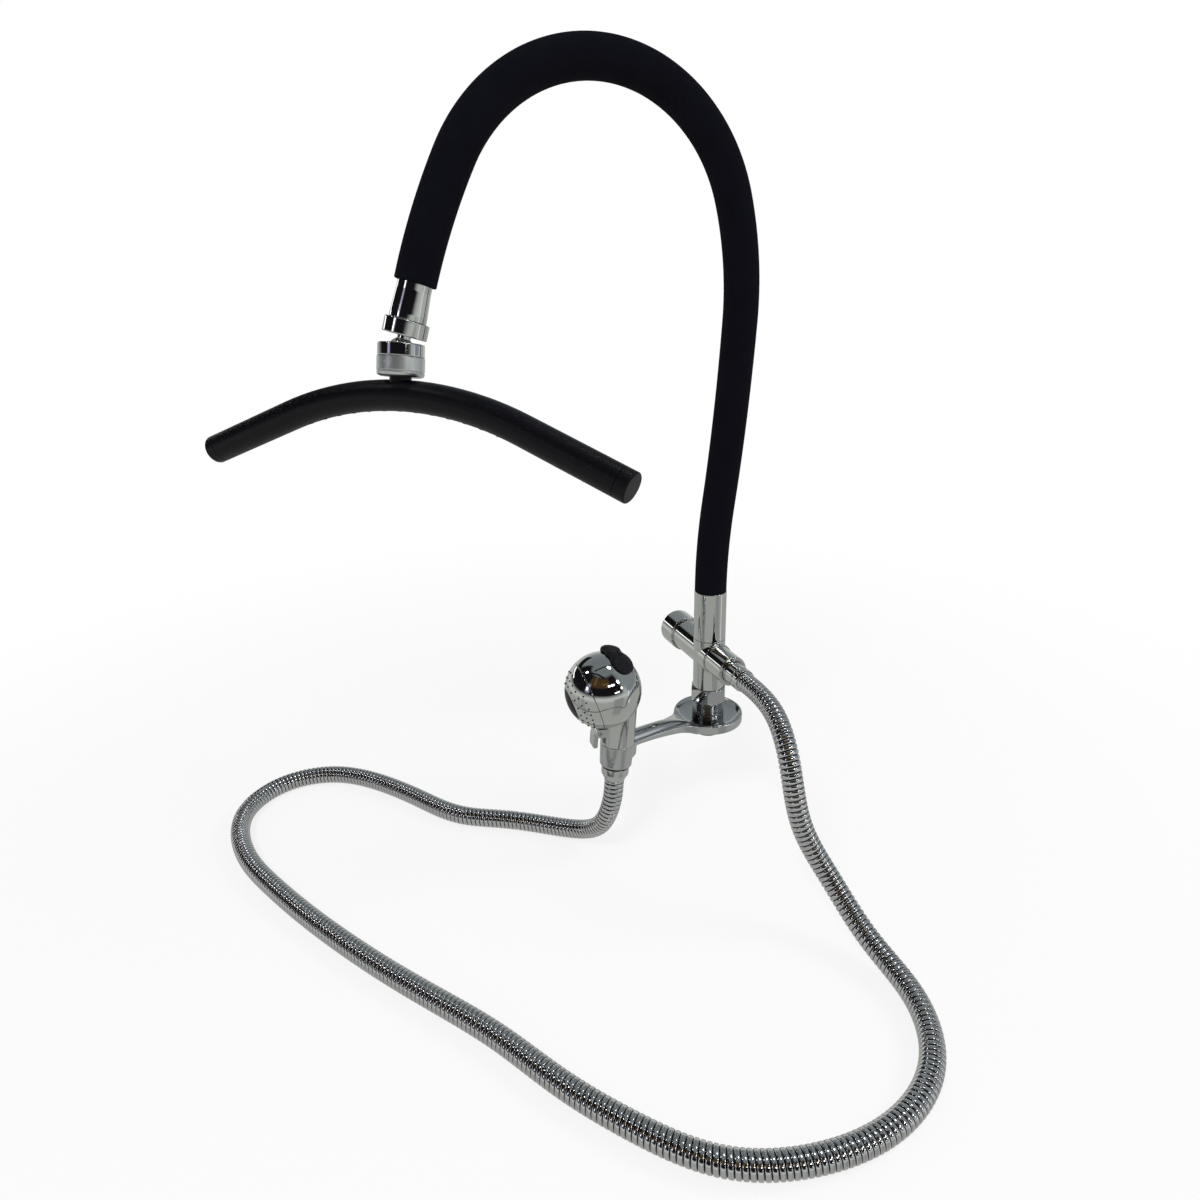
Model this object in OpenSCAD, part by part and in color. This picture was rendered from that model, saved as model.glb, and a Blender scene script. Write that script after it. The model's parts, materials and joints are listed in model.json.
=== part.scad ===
// Pet-bath sprayer set. A diverter tee on a screw-in water outlet feeds a foam-covered
// gooseneck with a curved spray bar, and a ribbed hose with a ball-headed handset.
// Millimetres, +Z up. The origin is on the inlet thread's axis, level with the underside
// of the flange. The hose leaves the tee towards -Y and the knob is towards +Y.

/* [Flange, arm and ring] */
// Outside diameter of the flange
flange_d = 50; // [46:0.5:60]
// Height of the flange's rim
flange_h = 7; // [6:0.5:9]
// Depth of the dish inside the rim
dish_depth = 3; // [1.5:0.5:3.5]
// Width of the flange's rim at the top
rim_w = 2.5; // [2:0.5:4]
// Distance from the inlet's axis to the middle of the ring
ring_reach = 92; // [84:1:110]
// Direction of the arm, anticlockwise from +X
arm_dir = 200; // [190:1:215]
// Height of the ring's middle
ring_z = 10; // [9:0.5:14]
// Lean of the ring's top towards the column
ring_lean = 7; // [0:1:10]
// Outside diameter of the ring at its top
ring_d = 23; // [22.5:0.5:28]
// Outside diameter of the ring at its bottom
ring_low_d = 21.6; // [21.2:0.1:24]
// Height of the ring
ring_h = 16; // [14:0.5:20]
// Width of the arm at its waist
arm_w = 12; // [9:0.5:15]
// Radius of the arm's hollowed sides
arm_side_r = 90; // [70:5:140]
// Height of the arm's spine at the ring
arm_h = 20.5; // [18:0.5:21]
// Thickness of the arm at the ring
arm_t = 10.5; // [9:0.5:11.5]

/* [Inlet and column] */
// Outside diameter of the inlet's pipe thread
thread_d = 20.955; // [20.5:0.005:21.2]
// Length of the inlet thread below the flange
stub_len = 10; // [8:0.5:16]
// Bore of the water way in the nipple and the tee
water_d = 11; // [9:0.5:12]
// Outside diameter of the nipple's shoulder
shoulder_d = 23; // [22:0.5:26]
// Height of the nipple's shoulder
shoulder_h = 4; // [3:0.5:6]
// Width of the hex nut across its flats
nut_af = 24; // [24:0.5:27]
// Height of the hex nut's lower face
nut_z = 17; // [16:0.5:20]
// Height of the hex nut
nut_h = 11; // [10:0.5:14]
// Outside diameter of the tee's column
column_d = 22.5; // [22:0.5:25]
// Height of the tee's crossing axis above the flange
cross_z = 53.5; // [52:0.5:58]
// Height of the seam between the tee and the sleeve
seam_z = 66; // [65.5:0.5:72]
// Height of the sleeve's top, where the foam starts
sleeve_top = 102; // [98:1:110]

/* [Barrel, knob and outlet] */
// Outside diameter of the barrel across the column
barrel_d = 23; // [22.5:0.5:25]
// Distance from the column's axis to the back of the barrel
barrel_back = 36; // [32:0.5:42]
// Outside diameter of the knob
knob_d = 25; // [24:0.5:30]
// Length of the knob
knob_len = 15.5; // [13:0.5:20]
// Outside diameter of the outlet collar
collar_d = 21.3; // [20.5:0.1:23]
// Distance from the column's axis to the front of the outlet collar
collar_front = 33.5; // [31:0.5:36]
// Outside diameter of the hose's ferrule
ferrule_d = 15.6; // [15.2:0.1:17]
// Distance from the column's axis to the end of the ferrule
ferrule_front = 50; // [49:0.5:52]
// Diameter of the spindle
spindle_d = 8; // [7:0.5:9]

/* [Gooseneck] */
// Direction in which the gooseneck's arch leans, anticlockwise from +X
arch_dir = 185.5; // [180:0.5:200]
// Outside diameter of the foam cover
foam_d = 22; // [20:0.5:26]
// Outside diameter of the bendable core
core_d = 16; // [14:0.5:17]
// Bore of the bendable core
core_bore = 11; // [8:0.5:12]
// Lengths of the gooseneck's five bends, from the bottom up and over
bend_lengths = [62, 117, 70, 219, 65];
// Turns of the five bends in degrees, towards the spray bar where positive
bend_turns = [-8.7, 4.8, 20.1, 134.5, 10.4];
// Length of the end fitting below the foam
fitting_len = 19; // [16:0.5:24]
// Outside diameter of the end fitting under the foam
fitting_d = 18; // [17.5:0.1:19]
// Outside diameter of the end fitting beside the joint ring
fitting_wide_d = 19.5; // [18.5:0.1:20.5]
// Outside diameter of the joint ring
joint_ring_d = 23.5; // [22:0.5:25]
// Height of the joint ring
joint_ring_h = 8; // [7:0.5:8]

/* [Ball joint and spray bar] */
// Radius of the ball
ball_r = 7; // [6.5:0.1:7.2]
// Diameter of the ball's stem
stem_d = 7.2; // [6:0.2:7.6]
// Outside diameter of the ring nut
ring_nut_d = 24.5; // [24:0.5:26]
// Height of the ring nut
ring_nut_h = 6.8; // [6:0.1:7]
// Outside diameter of the aluminium cup
cup_d = 25; // [24.5:0.5:27]
// Height of the aluminium cup
cup_h = 10; // [9.5:0.5:12]
// Visible length of the black neck under the cup
neck_gap = 1.3; // [1:0.1:3]
// Outside diameter of the black neck
bar_neck_d = 11.5; // [11:0.5:12.5]
// Direction of the spray bar, anticlockwise from +X
bar_heading = -47.4; // [-60:0.2:-30]
// Lean of the spray bar from the vertical
bar_lean = 12.3; // [5:0.1:15]
// Outside diameter of the spray bar
bar_d = 16.5; // [15:0.5:18]
// Wall of the spray bar
bar_wall = 2; // [1.5:0.1:2.5]
// Radius of the spray bar's bend
bar_bend_r = 215; // [180:5:260]
// Half of the angle that the spray bar bends through
bar_half_angle = 20.9; // [16:0.1:24]
// Length of each straight arm of the spray bar, without its cap
bar_arm = 58; // [50:1:70]
// Length of a spray bar cap
bar_cap_len = 7; // [5:0.5:10]
// Number of nozzles under the spray bar
bar_nozzle_count = 13; // [9:2:15]

/* [Handset] */
// Outside diameter of the handset's neck
neck_d = 22.9; // [22:0.1:24]
// Outside diameter of the spigot that drops into the ring
spigot_d = 19; // [18.6:0.1:19.2]
// Direction that the handset faces, anticlockwise from +X
handset_heading = 175; // [160:1:190]
// Radius of the handset's ball
head_r = 25.2; // [24.6:0.1:27]
// Distance of the ball's centre in front of the neck's axis
head_out = 12.5; // [11.5:0.1:14]
// Height of the ball's centre above the middle of the ring
head_up = 47; // [45.5:0.5:52]
// Wall of the ball
head_wall = 2.4; // [2:0.1:3]
// Drop of the spray face's axis below square to the neck
face_drop = 23; // [15:1:30]
// Half angle of the front cap
cap_half_angle = 67; // [62:1:72]
// Half angle of the black nozzle disc
disc_half_angle = 26; // [20:1:28]
// Number of nozzles in the inner ring of the face
inner_nozzles = 12; // [8:1:14]
// Number of nozzles in the outer ring of the face
outer_nozzles = 18; // [12:1:20]
// Outside diameter of the cone nut
cone_d = 18.6; // [18.2:0.1:19]
// Outside diameter of the cone nut's small end
cone_end_d = 14.4; // [14.2:0.1:16]
// Length of the cone nut
cone_h = 9.6; // [9.4:0.1:12]
// Thickness of the black ring on top of the cone nut
cone_washer_h = 1.6; // [1:0.1:2.5]

/* [Hose] */
// Outside diameter of the ribbed hose
hose_d = 13.5; // [12.5:0.5:14]
// Depth of the grooves between the ribs
rib_depth = 1; // [0.5:0.1:1.3]
// Bore of the hose
hose_bore = 8; // [6:0.5:9]
// Number of ribs
rib_count = 200; // [100:10:200]

/* [Clearances] */
// Gap round a part that turns on a bearing face
turn_gap = 0.06; // [0.04:0.01:0.08]
// Gap between pieces that are screwed or pressed together
fit_gap = 0.05; // [0.02:0.01:0.1]
// Gap between the surfaces of the ball joint
ball_gap = 0.2; // [0.15:0.01:0.3]
// Gap between a loose moving piece and what it passes
slide_gap = 0.4; // [0.3:0.05:0.5]

/* [Hidden] */
$fn = 96;
cut = 1;                                  // overshoot of a cutting shape
seam_gap = 0.02;                          // hairline between two bends of one tube
seam_ring_len = 1;                        // ring inside the wall that joins them

// Arm
spine_lift = 2;                           // of the ridge above the flange's rim
spine_fall = 0.115;                       // drop of the arch for each square millimetre out
ledge_drop = 4.6;
ledge_w = 1.3;
root_out = 5;

// Column, from the dish's floor upwards
dish_floor = flange_h - dish_depth;
nipple_top = nut_z + 4.5;
washer_h = 1.5;
tail_z = nipple_top + washer_h;
tail_flange_h = 2;
tail_d = water_d + 5.5;
nut_lip_z = tail_z + tail_flange_h + fit_gap;
nut_top = nut_z + nut_h;
gasket_h = 1.8;
gasket_d = flange_d - 10;
gasket_bore = thread_d + 9;
runout_depth = 0.9;

// Top spigot of the tee, which the sleeve turns on
swivel_spigot_h = 15;
spigot_top = seam_z + swivel_spigot_h;
swivel_d = 18;
swivel_ring_z = seam_z + 5;
ring_cord = 1.7;                          // thickness of the seal rings' rubber
clip_z = seam_z + 10.5;                   // groove that keeps the sleeve on
clip_groove_h = 3;
clip_depth = 1.2;
screw_d = 4;
screw_dir = 60;

// Barrel, knob and spindle
cross_bore = 15;
plug_len = 16;
way_d = 7;
channel_depth = 2.4;
gland_len = 16;
gland_d = 19;
knob_wall = 2.2;
knob_hub_d = 13;
knob_gap = 0.4;
knob_end = barrel_back + knob_gap + knob_len;
knob_cap_d = 14;
knob_cap_h = 1.5;
knob_screw_head_d = 7;
knob_screw_d = 3;
knob_screw_len = 13;
collar_thread_d = 17;
collar_thread_len = 6;
outlet_flange_h = 2;

// Gooseneck centreline: bends up to the foam's end, then straight
bend_count = len(bend_lengths);
core_tail = 8;
ball_drop = 7.5;                          // from the joint ring's face to the ball's centre

// Ball joint, measured along the cup's axis from the ball's centre
liner_t = 1.3;
liner_r = ball_r + ball_gap;
pocket_r = liner_r + liner_t + ball_gap;
nut_seam = -ring_nut_h / 2;
cup_top = nut_seam - fit_gap;
cup_bottom = cup_top - cup_h;
cup_spigot_d = cup_d - 4;
lid_z = -0.3;
neck_top = cup_bottom + 3;
bar_drop = neck_gap + bar_d / 2 - cup_bottom;
bar_bore_r = bar_d / 2 - bar_wall;
bar_chord = bar_bend_r * sin(bar_half_angle);
bar_sag = bar_bend_r * (1 - cos(bar_half_angle));
nozzle_d = 2.4;
bar_nozzle_h = 0.1;
nozzle_pitch = 2.9;                       // degrees of the bend from nozzle to nozzle

// Handset, measured along the ring's axis from the ring's middle
ring_top = ring_h / 2 + 0.5;
ring_bottom = ring_top - ring_h;
ring_bore = spigot_d + 2 * slide_gap;
seat_gap = 0.05;
neck_bottom = ring_top + seat_gap;
tail_thread_d = 16.662;
tail_thread_len = 6.2;
cone_top = ring_bottom - cone_washer_h;
cone_bottom = cone_top - cone_h;
cone_taper = 5;
hose_tail_d = 11.4;
hose_tail_flange_d = 14.4;
hose_tail_flange_h = 1.5;
hose_seal_h = 1.2;
thread_end = ring_bottom - tail_thread_len;
seal_bottom = thread_end - hose_seal_h;
flange_bottom = seal_bottom - hose_tail_flange_h;
cap_plane = head_r * cos(cap_half_angle);
cap_seam = 0.25;
disc_r = head_r * sin(disc_half_angle);
skirt_r = 19.4;
skirt_len = 3;
face_seal_r = (skirt_r + sqrt(pow(head_r - head_wall, 2) - pow(cap_plane - skirt_len / 2, 2))) / 2;
inner_ring_angle = disc_half_angle + 11;
outer_ring_angle = disc_half_angle + 22;
slider_lift = 2.3;
slider_angle = 60;                        // above the square to the neck, at the back
lobe_angle = 26.5;
lobe_r = 5.8;
slider_waist = 8.8;
slider_gap = 0.35;
tongue_w = 5;
tongue_t = 6;
slider_travel = 12;                       // degrees to each side
slot_w = tongue_t + 2 * slider_gap;
slot_len = 2 * head_r * sin(slider_travel) + tongue_w + 2 * slider_gap;
carrier_r = 8.5;
lever_w = 9;
lever_pin_d = 2.5;
lever_pin_x = neck_d / 2 + 3;
lever_pin_h = ring_top + 10;
lever_reach = neck_d / 2 + 6.6;
lever_low = ring_top - 1.5;
lever_t = 3.2;
lug_t = 2;

// Hose route: control points of a smooth curve, straight at both ends
hose_straight = 8;
HOSE_ROUTE = [
    [0, -90, 50], [-5, -115, 30], [-5, -125, -10], [10, -140, -40], [15, -175, -65],
    [20, -215, -70], [0, -255, -70], [-40, -275, -70], [-85, -275, -70], [-130, -260, -70],
    [-160, -225, -70], [-185, -190, -70], [-205, -150, -70], [-230, -115, -70],
    [-255, -80, -70], [-280, -40, -70], [-300, -5, -70], [-320, 35, -70], [-335, 70, -70],
    [-340, 125, -70], [-305, 160, -70], [-255, 155, -70], [-215, 105, -70], [-200, 80, -70],
    [-180, 50, -70], [-145, 35, -70], [-100, -5, -70], [-95, -30, -45]
];
hose_sides = 8;
bore_step = 4;                            // outer rings to each ring of the bore

// ---------------------------------------------------------------- shared shapes

// Tube from z0 up to z1
module tube(d, bore, z0, z1) {
    difference() {
        translate([0, 0, z0]) cylinder(d = d, h = z1 - z0);
        translate([0, 0, z0 - cut]) cylinder(d = bore, h = z1 - z0 + 2 * cut);
    }
}

// Rod from z0 up to z1
module rod(d, z0, z1) {
    translate([0, 0, z0]) cylinder(d = d, h = z1 - z0);
}

// Disc from z0 up to z1 with its upper edge rounded to r
module rounded_rod(d, z0, z1, r) {
    rotate_extrude() {
        translate([0, z0]) square([d / 2, z1 - z0 - r]);
        translate([0, z0]) square([d / 2 - r, z1 - z0]);
        intersection() {
            translate([d / 2 - r, z1 - r]) circle(r);
            translate([d / 2 - r, z1 - r]) square(r + cut);
        }
    }
}

// Rubber ring with its cord's middle at radius r and height z
module seal_ring(r, z, cord) {
    translate([0, 0, z]) rotate_extrude() translate([r, 0]) circle(d = cord, $fn = 24);
}

// Spherical shell between two radii, kept between heights z0 and z1
module shell_band(r_in, r_out, z0, z1) {
    intersection() {
        difference() {
            sphere(r_out);
            sphere(r_in);
        }
        rod(2 * r_out + cut, z0, z1);
    }
}

// Frame of the crossing axis: +Z points along the barrel towards the knob
module along_barrel() {
    translate([0, 0, cross_z]) rotate([-90, 0, 0]) children();
}

// ---------------------------------------------------------------- bracket

// Outline of the arm seen from above, +X towards the ring, drawn in by inset at each side
module arm_plan(inset) {
    waist_x = ring_reach * 0.74;
    difference() {
        translate([0, -flange_d / 2]) square([ring_reach, flange_d]);
        for (side = [-1, 1])
            translate([waist_x, side * (arm_w / 2 + arm_side_r)])
                circle(arm_side_r + inset, $fn = 200);
    }
}

// Side view of the arm: +X towards the ring, +Y up
module arm_side() {
    root = flange_d * 0.36;
    far = ring_reach - ring_d * 0.2;
    polygon([
        [root, 0.8], [flange_d * 0.6, 2.2], [ring_reach - ring_d * 0.4, arm_h - arm_t],
        [far, arm_h - arm_t], [far, arm_h + ring_h], [root, arm_h + ring_h]
    ]);
}

// End view of the arm's arched spine, heights measured from its ridge
module spine_section() {
    reach = 9;
    polygon(concat(
        [[reach, -2 * arm_t], [-reach, -2 * arm_t]],
        [for (y = [-reach:reach]) [y, -spine_fall * y * y]]
    ));
}

// Arm that climbs from the flange's rim to the ring's top: a body with ledges beside a spine
module arm() {
    run = ring_reach - ring_d / 2 - flange_d / 2;
    intersection() {
        rotate([90, 0, 0]) translate([0, 0, -flange_d]) linear_extrude(2 * flange_d) arm_side();
        translate([flange_d / 2, 0, flange_h + spine_lift])
            rotate([0, -atan((arm_h - flange_h - spine_lift) / run), 0])
                translate([-flange_d / 2, 0, 0]) {
                    translate([0, 0, -2 * arm_t]) linear_extrude(2 * arm_t - ledge_drop) arm_plan(0);
                    intersection() {
                        translate([0, 0, -2 * arm_t]) linear_extrude(2 * arm_t + cut)
                            arm_plan(ledge_w);
                        rotate([90, 0, 90]) linear_extrude(ring_reach) spine_section();
                    }
                }
    }
}

// Rounded root under the arm, on the ring's side towards the column
module arm_root() {
    rotate([0, 0, arm_dir]) translate([ring_reach, 0, ring_z]) rotate([0, -ring_lean, 0])
        hull() for (out = [0, ring_d / 2 + root_out - arm_w / 2]) translate([-out, 0, 0]) {
            rod(arm_w, ring_bottom + 5, ring_top - 4);
            rod(arm_w - 3, ring_bottom + 2.2, ring_top - 4);
            rod(arm_w - 7, ring_bottom + 1.2, ring_top - 4);
        }
}

// Frame of the handset: origin at the ring's middle, +Z up the ring's axis, +X forwards
module at_handset() {
    rotate([0, 0, arm_dir]) translate([ring_reach, 0, ring_z]) rotate([0, -ring_lean, 0])
        rotate([0, 0, handset_heading - arm_dir]) children();
}

module holder_bracket() {
    color("silver") difference() {
        union() {
            rounded_rod(flange_d, 0, flange_h, 1.2);
            rotate([0, 0, arm_dir]) arm();
            arm_root();
            at_handset() translate([0, 0, ring_bottom])
                cylinder(d1 = ring_low_d, d2 = ring_d, h = ring_h);
        }
        // dish with a sloping wall
        rotate_extrude() polygon([
            [0, dish_floor], [flange_d / 2 - rim_w - dish_depth, dish_floor],
            [flange_d / 2 - rim_w, flange_h], [flange_d / 2 - rim_w, arm_h + cut],
            [0, arm_h + cut]
        ]);
        translate([0, 0, -cut]) cylinder(d = thread_d + 2 * fit_gap, h = flange_h + 2 * cut);
        translate([0, 0, -cut]) cylinder(d = gasket_d + 2 * fit_gap, h = gasket_h + cut);
        at_handset() rod(ring_bore, ring_bottom - 3 * cut, ring_top + 3 * cut);
        at_handset() rod(ring_d + cut, ring_top, ring_top + 2 * ring_h);
    }
}

module base_gasket() {
    color("dimgray") tube(gasket_d, gasket_bore, 0, gasket_h);
}

// ---------------------------------------------------------------- column

module inlet_nipple() {
    color("gray") difference() {
        union() {
            rod(thread_d, -stub_len, 0);
            // run-out between the two threads, inside the flange
            rod(thread_d - 2 * runout_depth, -cut, dish_floor + cut);
            rod(thread_d, dish_floor, nipple_top);
            rod(shoulder_d, dish_floor, dish_floor + shoulder_h);
        }
        rod(water_d + 3, -stub_len - cut, nipple_top + cut);
    }
}

module swivel_nut() {
    chamfer = 1.5;
    corner_d = nut_af / cos(30);
    color("silver") difference() {
        intersection() {
            translate([0, 0, nut_z]) cylinder(d = corner_d, h = nut_h, $fn = 6);
            rotate_extrude() polygon([
                [0, nut_z], [nut_af / 2, nut_z], [corner_d / 2, nut_z + chamfer],
                [corner_d / 2, nut_top - chamfer], [nut_af / 2, nut_top], [0, nut_top]
            ]);
        }
        rod(thread_d + 2 * fit_gap, nut_z - cut, nut_lip_z);
        rod(tail_d + 2 * fit_gap, nut_z - cut, nut_top + cut);
    }
}

module nut_washer() {
    color("dimgray") tube(thread_d - 1, water_d, nipple_top, tail_z);
}

module diverter_body() {
    body_bottom = nut_top + fit_gap;
    color("silver") difference() {
        union() {
            rod(column_d, body_bottom, seam_z);
            along_barrel() rod(barrel_d, -column_d / 2 - 1, barrel_back);
            rod(tail_d, tail_z, body_bottom);
            rod(thread_d - 1, tail_z, tail_z + tail_flange_h);
            rod(swivel_d, seam_z, spigot_top);
        }
        rod(water_d, tail_z - cut, spigot_top + cut);
        along_barrel() rod(cross_bore, -plug_len / 2 - 2, barrel_back + cut);
        along_barrel() rod(gland_d, barrel_back - gland_len, barrel_back + cut);
        along_barrel() rod(collar_thread_d, -column_d, -plug_len / 2 - 1);
        tube(swivel_d + 2, swivel_d - 2 * ring_cord, swivel_ring_z - 1.1, swivel_ring_z + 1.1);
        tube(swivel_d + 2, swivel_d - 2 * clip_depth, clip_z - clip_groove_h / 2,
             clip_z + clip_groove_h / 2);
    }
}

module diverter_spindle() {
    plug_d = cross_bore - 2 * slide_gap;
    stem_end = barrel_back + knob_gap + knob_len - knob_wall;
    color("goldenrod") along_barrel() difference() {
        union() {
            rod(plug_d, -plug_len / 2, plug_len / 2);
            rod(spindle_d, plug_len / 2, stem_end - 3);
        }
        // channel round one side, from the inlet up to the gooseneck
        intersection() {
            tube(plug_d + 2 * cut, plug_d - 2 * channel_depth, -way_d / 2, way_d / 2);
            translate([0, -plug_d, -way_d]) cube([plug_d, 2 * plug_d, 2 * way_d]);
        }
        // way from the other side forwards to the hose
        rotate([0, -90, 0]) cylinder(d = way_d, h = plug_d);
        rod(way_d, -plug_len / 2 - cut, 0);
        rod(knob_screw_d + 2 * fit_gap, stem_end - knob_screw_len, stem_end);
    }
}

module spindle_gland() {
    color("goldenrod") along_barrel()
        tube(gland_d - 2 * fit_gap, spindle_d + 2 * turn_gap,
             barrel_back - gland_len + ring_cord + 0.3, barrel_back);
}

module spindle_o_ring() {
    color("dimgray") along_barrel()
        seal_ring(spindle_d / 2 + turn_gap + ring_cord / 2,
                  barrel_back - gland_len + ring_cord / 2 + 0.1, ring_cord);
}

module diverter_knob() {
    knob_start = barrel_back + knob_gap;
    stem_end = knob_end - knob_wall;
    color("silver") along_barrel() difference() {
        rounded_rod(knob_d, knob_start, knob_end, 0.8);
        difference() {
            rod(knob_d - 2 * knob_wall, knob_start - cut, stem_end);
            rod(knob_hub_d, knob_start, knob_end);
        }
        rod(spindle_d + 2 * fit_gap, knob_start - cut, stem_end - 3);
        rod(knob_screw_d + 2 * fit_gap, knob_start, knob_end + cut);
        rod(knob_cap_d + 2 * fit_gap, knob_end - knob_cap_h, knob_end + cut);
        rod(knob_screw_head_d + 2 * fit_gap, knob_end - knob_cap_h - 2, knob_end);
    }
}

module knob_screw() {
    head_top = knob_end - knob_cap_h - 0.1;
    color("gray") along_barrel() difference() {
        union() {
            rod(knob_screw_head_d, head_top - 1.85, head_top);
            rod(knob_screw_d, head_top - 11, head_top - 1);
        }
        rotate([0, 0, 15]) translate([0, 0, head_top - 1.2]) cylinder(d = 3, h = 2, $fn = 6);
    }
}

module knob_cap() {
    color("silver") along_barrel() rounded_rod(knob_cap_d, knob_end - knob_cap_h, knob_end, 0.4);
}

// Frame of the outlet: +Z points out of the tee along the hose
module along_outlet() {
    translate([0, 0, cross_z]) rotate([90, 0, 0]) children();
}

module outlet_collar() {
    seat = column_d / 2 + 1;
    lip = 2;
    color("silver") along_outlet() difference() {
        union() {
            rod(collar_thread_d - 2 * fit_gap, plug_len / 2 + 1.5, seat);
            rounded_rod(collar_d, seat, collar_front, 0.8);
        }
        rod(water_d - 1, plug_len / 2, collar_front);
        rod(collar_d - 4, seat + 4, collar_front - lip);
        rod(ferrule_d + 2 * fit_gap, seat + 4, collar_front + cut);
    }
}

module outlet_washer() {
    color("dimgray") along_outlet()
        tube(collar_d - 4.3, hose_bore + 1, column_d / 2 + 5, column_d / 2 + 6.5);
}

module hose_ferrule() {
    flange_z = column_d / 2 + 6.5;
    color("silver") along_outlet() difference() {
        union() {
            rod(collar_d - 4.3, flange_z, flange_z + outlet_flange_h);
            rod(ferrule_d, flange_z, ferrule_front);
        }
        rod(hose_bore, flange_z - cut, ferrule_front + cut);
    }
}

// ---------------------------------------------------------------- hose

// Unit vector of v
function unit(v) = v / norm(v);

// Ring axis and the two ends of the hose
ring_up = [
    -sin(ring_lean) * cos(arm_dir), -sin(ring_lean) * sin(arm_dir), cos(ring_lean)
];
ring_mid = [ring_reach * cos(arm_dir), ring_reach * sin(arm_dir), ring_z];
hose_start = [0, -ferrule_front, cross_z];
hose_end = ring_mid + (cone_bottom - seat_gap) * ring_up;
CONTROL = concat(
    [for (k = [-1:2]) hose_start - [0, k * hose_straight, 0]],
    HOSE_ROUTE,
    [for (k = [2:-1:-1]) hose_end - k * hose_straight * ring_up]
);

// Point and direction on the smooth curve, u from 0 to the number of spans
span_count = len(CONTROL) - 3;
function span_of(u) = min(floor(u), span_count - 1);
function blend4(i, w) = w[0] * CONTROL[i] + w[1] * CONTROL[i + 1] + w[2] * CONTROL[i + 2]
    + w[3] * CONTROL[i + 3];
function curve_point(u) = let (i = span_of(u), t = u - i)
    blend4(i, [pow(1 - t, 3), 3 * pow(t, 3) - 6 * t * t + 4,
               -3 * pow(t, 3) + 3 * t * t + 3 * t + 1, pow(t, 3)] / 6);
function curve_way(u) = let (i = span_of(u), t = u - i)
    unit(blend4(i, [-pow(1 - t, 2), 3 * t * t - 4 * t, -3 * t * t + 2 * t + 1, t * t] / 2));

// Length of the curve, added up over fine steps, and the u of even steps along it
fine_count = 40 * span_count;
fine_points = [for (k = [0:fine_count]) curve_point(k / 40)];
fine_sums = [for (k = 0, s = 0; k <= fine_count;
    k = k + 1, s = s + (k <= fine_count ? norm(fine_points[k] - fine_points[k - 1]) : 0)) s];
hose_len = fine_sums[fine_count];
ring_steps = 2 * rib_count;
ring_u = [for (n = [0:ring_steps]) lookup(n * hose_len / ring_steps,
    [for (k = [0:fine_count]) [fine_sums[k], k / 40]])];

// Side direction carried from ring to ring without twist
function turned(side, way) = unit(side - (side * way) * way);
ring_ways = [for (u = ring_u) curve_way(u)];
ring_sides = [for (n = 0, s = turned([1, 0, 0], ring_ways[0]); n <= ring_steps;
    n = n + 1, s = n <= ring_steps ? turned(s, ring_ways[n]) : s) s];

// Ring of points round the curve
function ring(n, r) = let (p = curve_point(ring_u[n]), a = ring_sides[n],
                           b = cross(ring_ways[n], a))
    [for (k = [0:hose_sides - 1]) let (q = (k + 0.5) * 360 / hose_sides)
        p + r * (cos(q) * a + sin(q) * b)];

// Quads between two neighbouring rings that start at points i and j, as triangles
function band(i, j, out) = [for (k = [0:hose_sides - 1], half = [0, 1])
    let (m = (k + 1) % hose_sides,
         f = half == 0 ? [i + k, j + k, j + m] : [i + k, j + m, i + m])
    out ? f : [f[2], f[1], f[0]]];

module hose() {
    crest_r = hose_d / 2 / cos(180 / hose_sides) * 0.98;
    groove_r = crest_r - rib_depth;
    outer = [for (n = [0:ring_steps]) each ring(n, n % 2 == 1 ? crest_r : groove_r)];
    bore_rings = [for (n = [0:bore_step:ring_steps]) each ring(n, hose_bore / 2)];
    first = len(outer);
    last_bore = len(outer) + len(bore_rings) - hose_sides;
    faces = concat(
        [for (n = [0:ring_steps - 1])
            each band(n * hose_sides, (n + 1) * hose_sides, false)],
        [for (n = [0:ring_steps / bore_step - 1])
            each band(first + n * hose_sides, first + (n + 1) * hose_sides, true)],
        band(0, first, true),
        band(ring_steps * hose_sides, last_bore, false)
    );
    color("silver") polyhedron(points = concat(outer, bore_rings), faces = faces);
    echo(hose_length = hose_len, rib_pitch = hose_len / rib_count);
}

// ---------------------------------------------------------------- handset

module hose_tail() {
    color("goldenrod") at_handset() difference() {
        union() {
            rod(hose_tail_d, cone_bottom, seal_bottom);
            rod(hose_tail_flange_d, flange_bottom, seal_bottom);
        }
        rod(hose_bore, cone_bottom - cut, seal_bottom + cut);
    }
}

module hose_washer() {
    color("dimgray") at_handset() tube(hose_tail_flange_d, hose_bore + 1, seal_bottom, thread_end);
}

module cone_nut() {
    color("silver") at_handset() difference() {
        rotate_extrude() polygon([
            [0, cone_top], [cone_d / 2, cone_top], [cone_d / 2, cone_top - cone_taper],
            [cone_end_d / 2, cone_bottom + 0.8], [cone_end_d / 2, cone_bottom], [0, cone_bottom]
        ]);
        rod(tail_thread_d + 2 * fit_gap, thread_end - fit_gap, cone_top + cut);
        rod(hose_tail_flange_d + 2 * fit_gap, flange_bottom - fit_gap, thread_end);
        rod(hose_tail_d + 2 * turn_gap, cone_bottom - cut, cone_top);
    }
}

module cone_washer() {
    color("dimgray") at_handset()
        tube(spigot_d, tail_thread_d + 2 * fit_gap, cone_top, ring_bottom);
}

// Frame of the handset's ball: origin at its centre
module at_head() {
    at_handset() translate([head_out, 0, head_up]) children();
}

// Frame of the spray face: +Z points out of the ball along the spray
module at_face() {
    at_head() rotate([0, 90 + face_drop, 0]) children();
}

// Frame of the slider: +Z points out of the ball through the middle of the slider
module at_slider() {
    at_head() rotate([0, slider_angle - 90, 0]) children();
}

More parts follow.
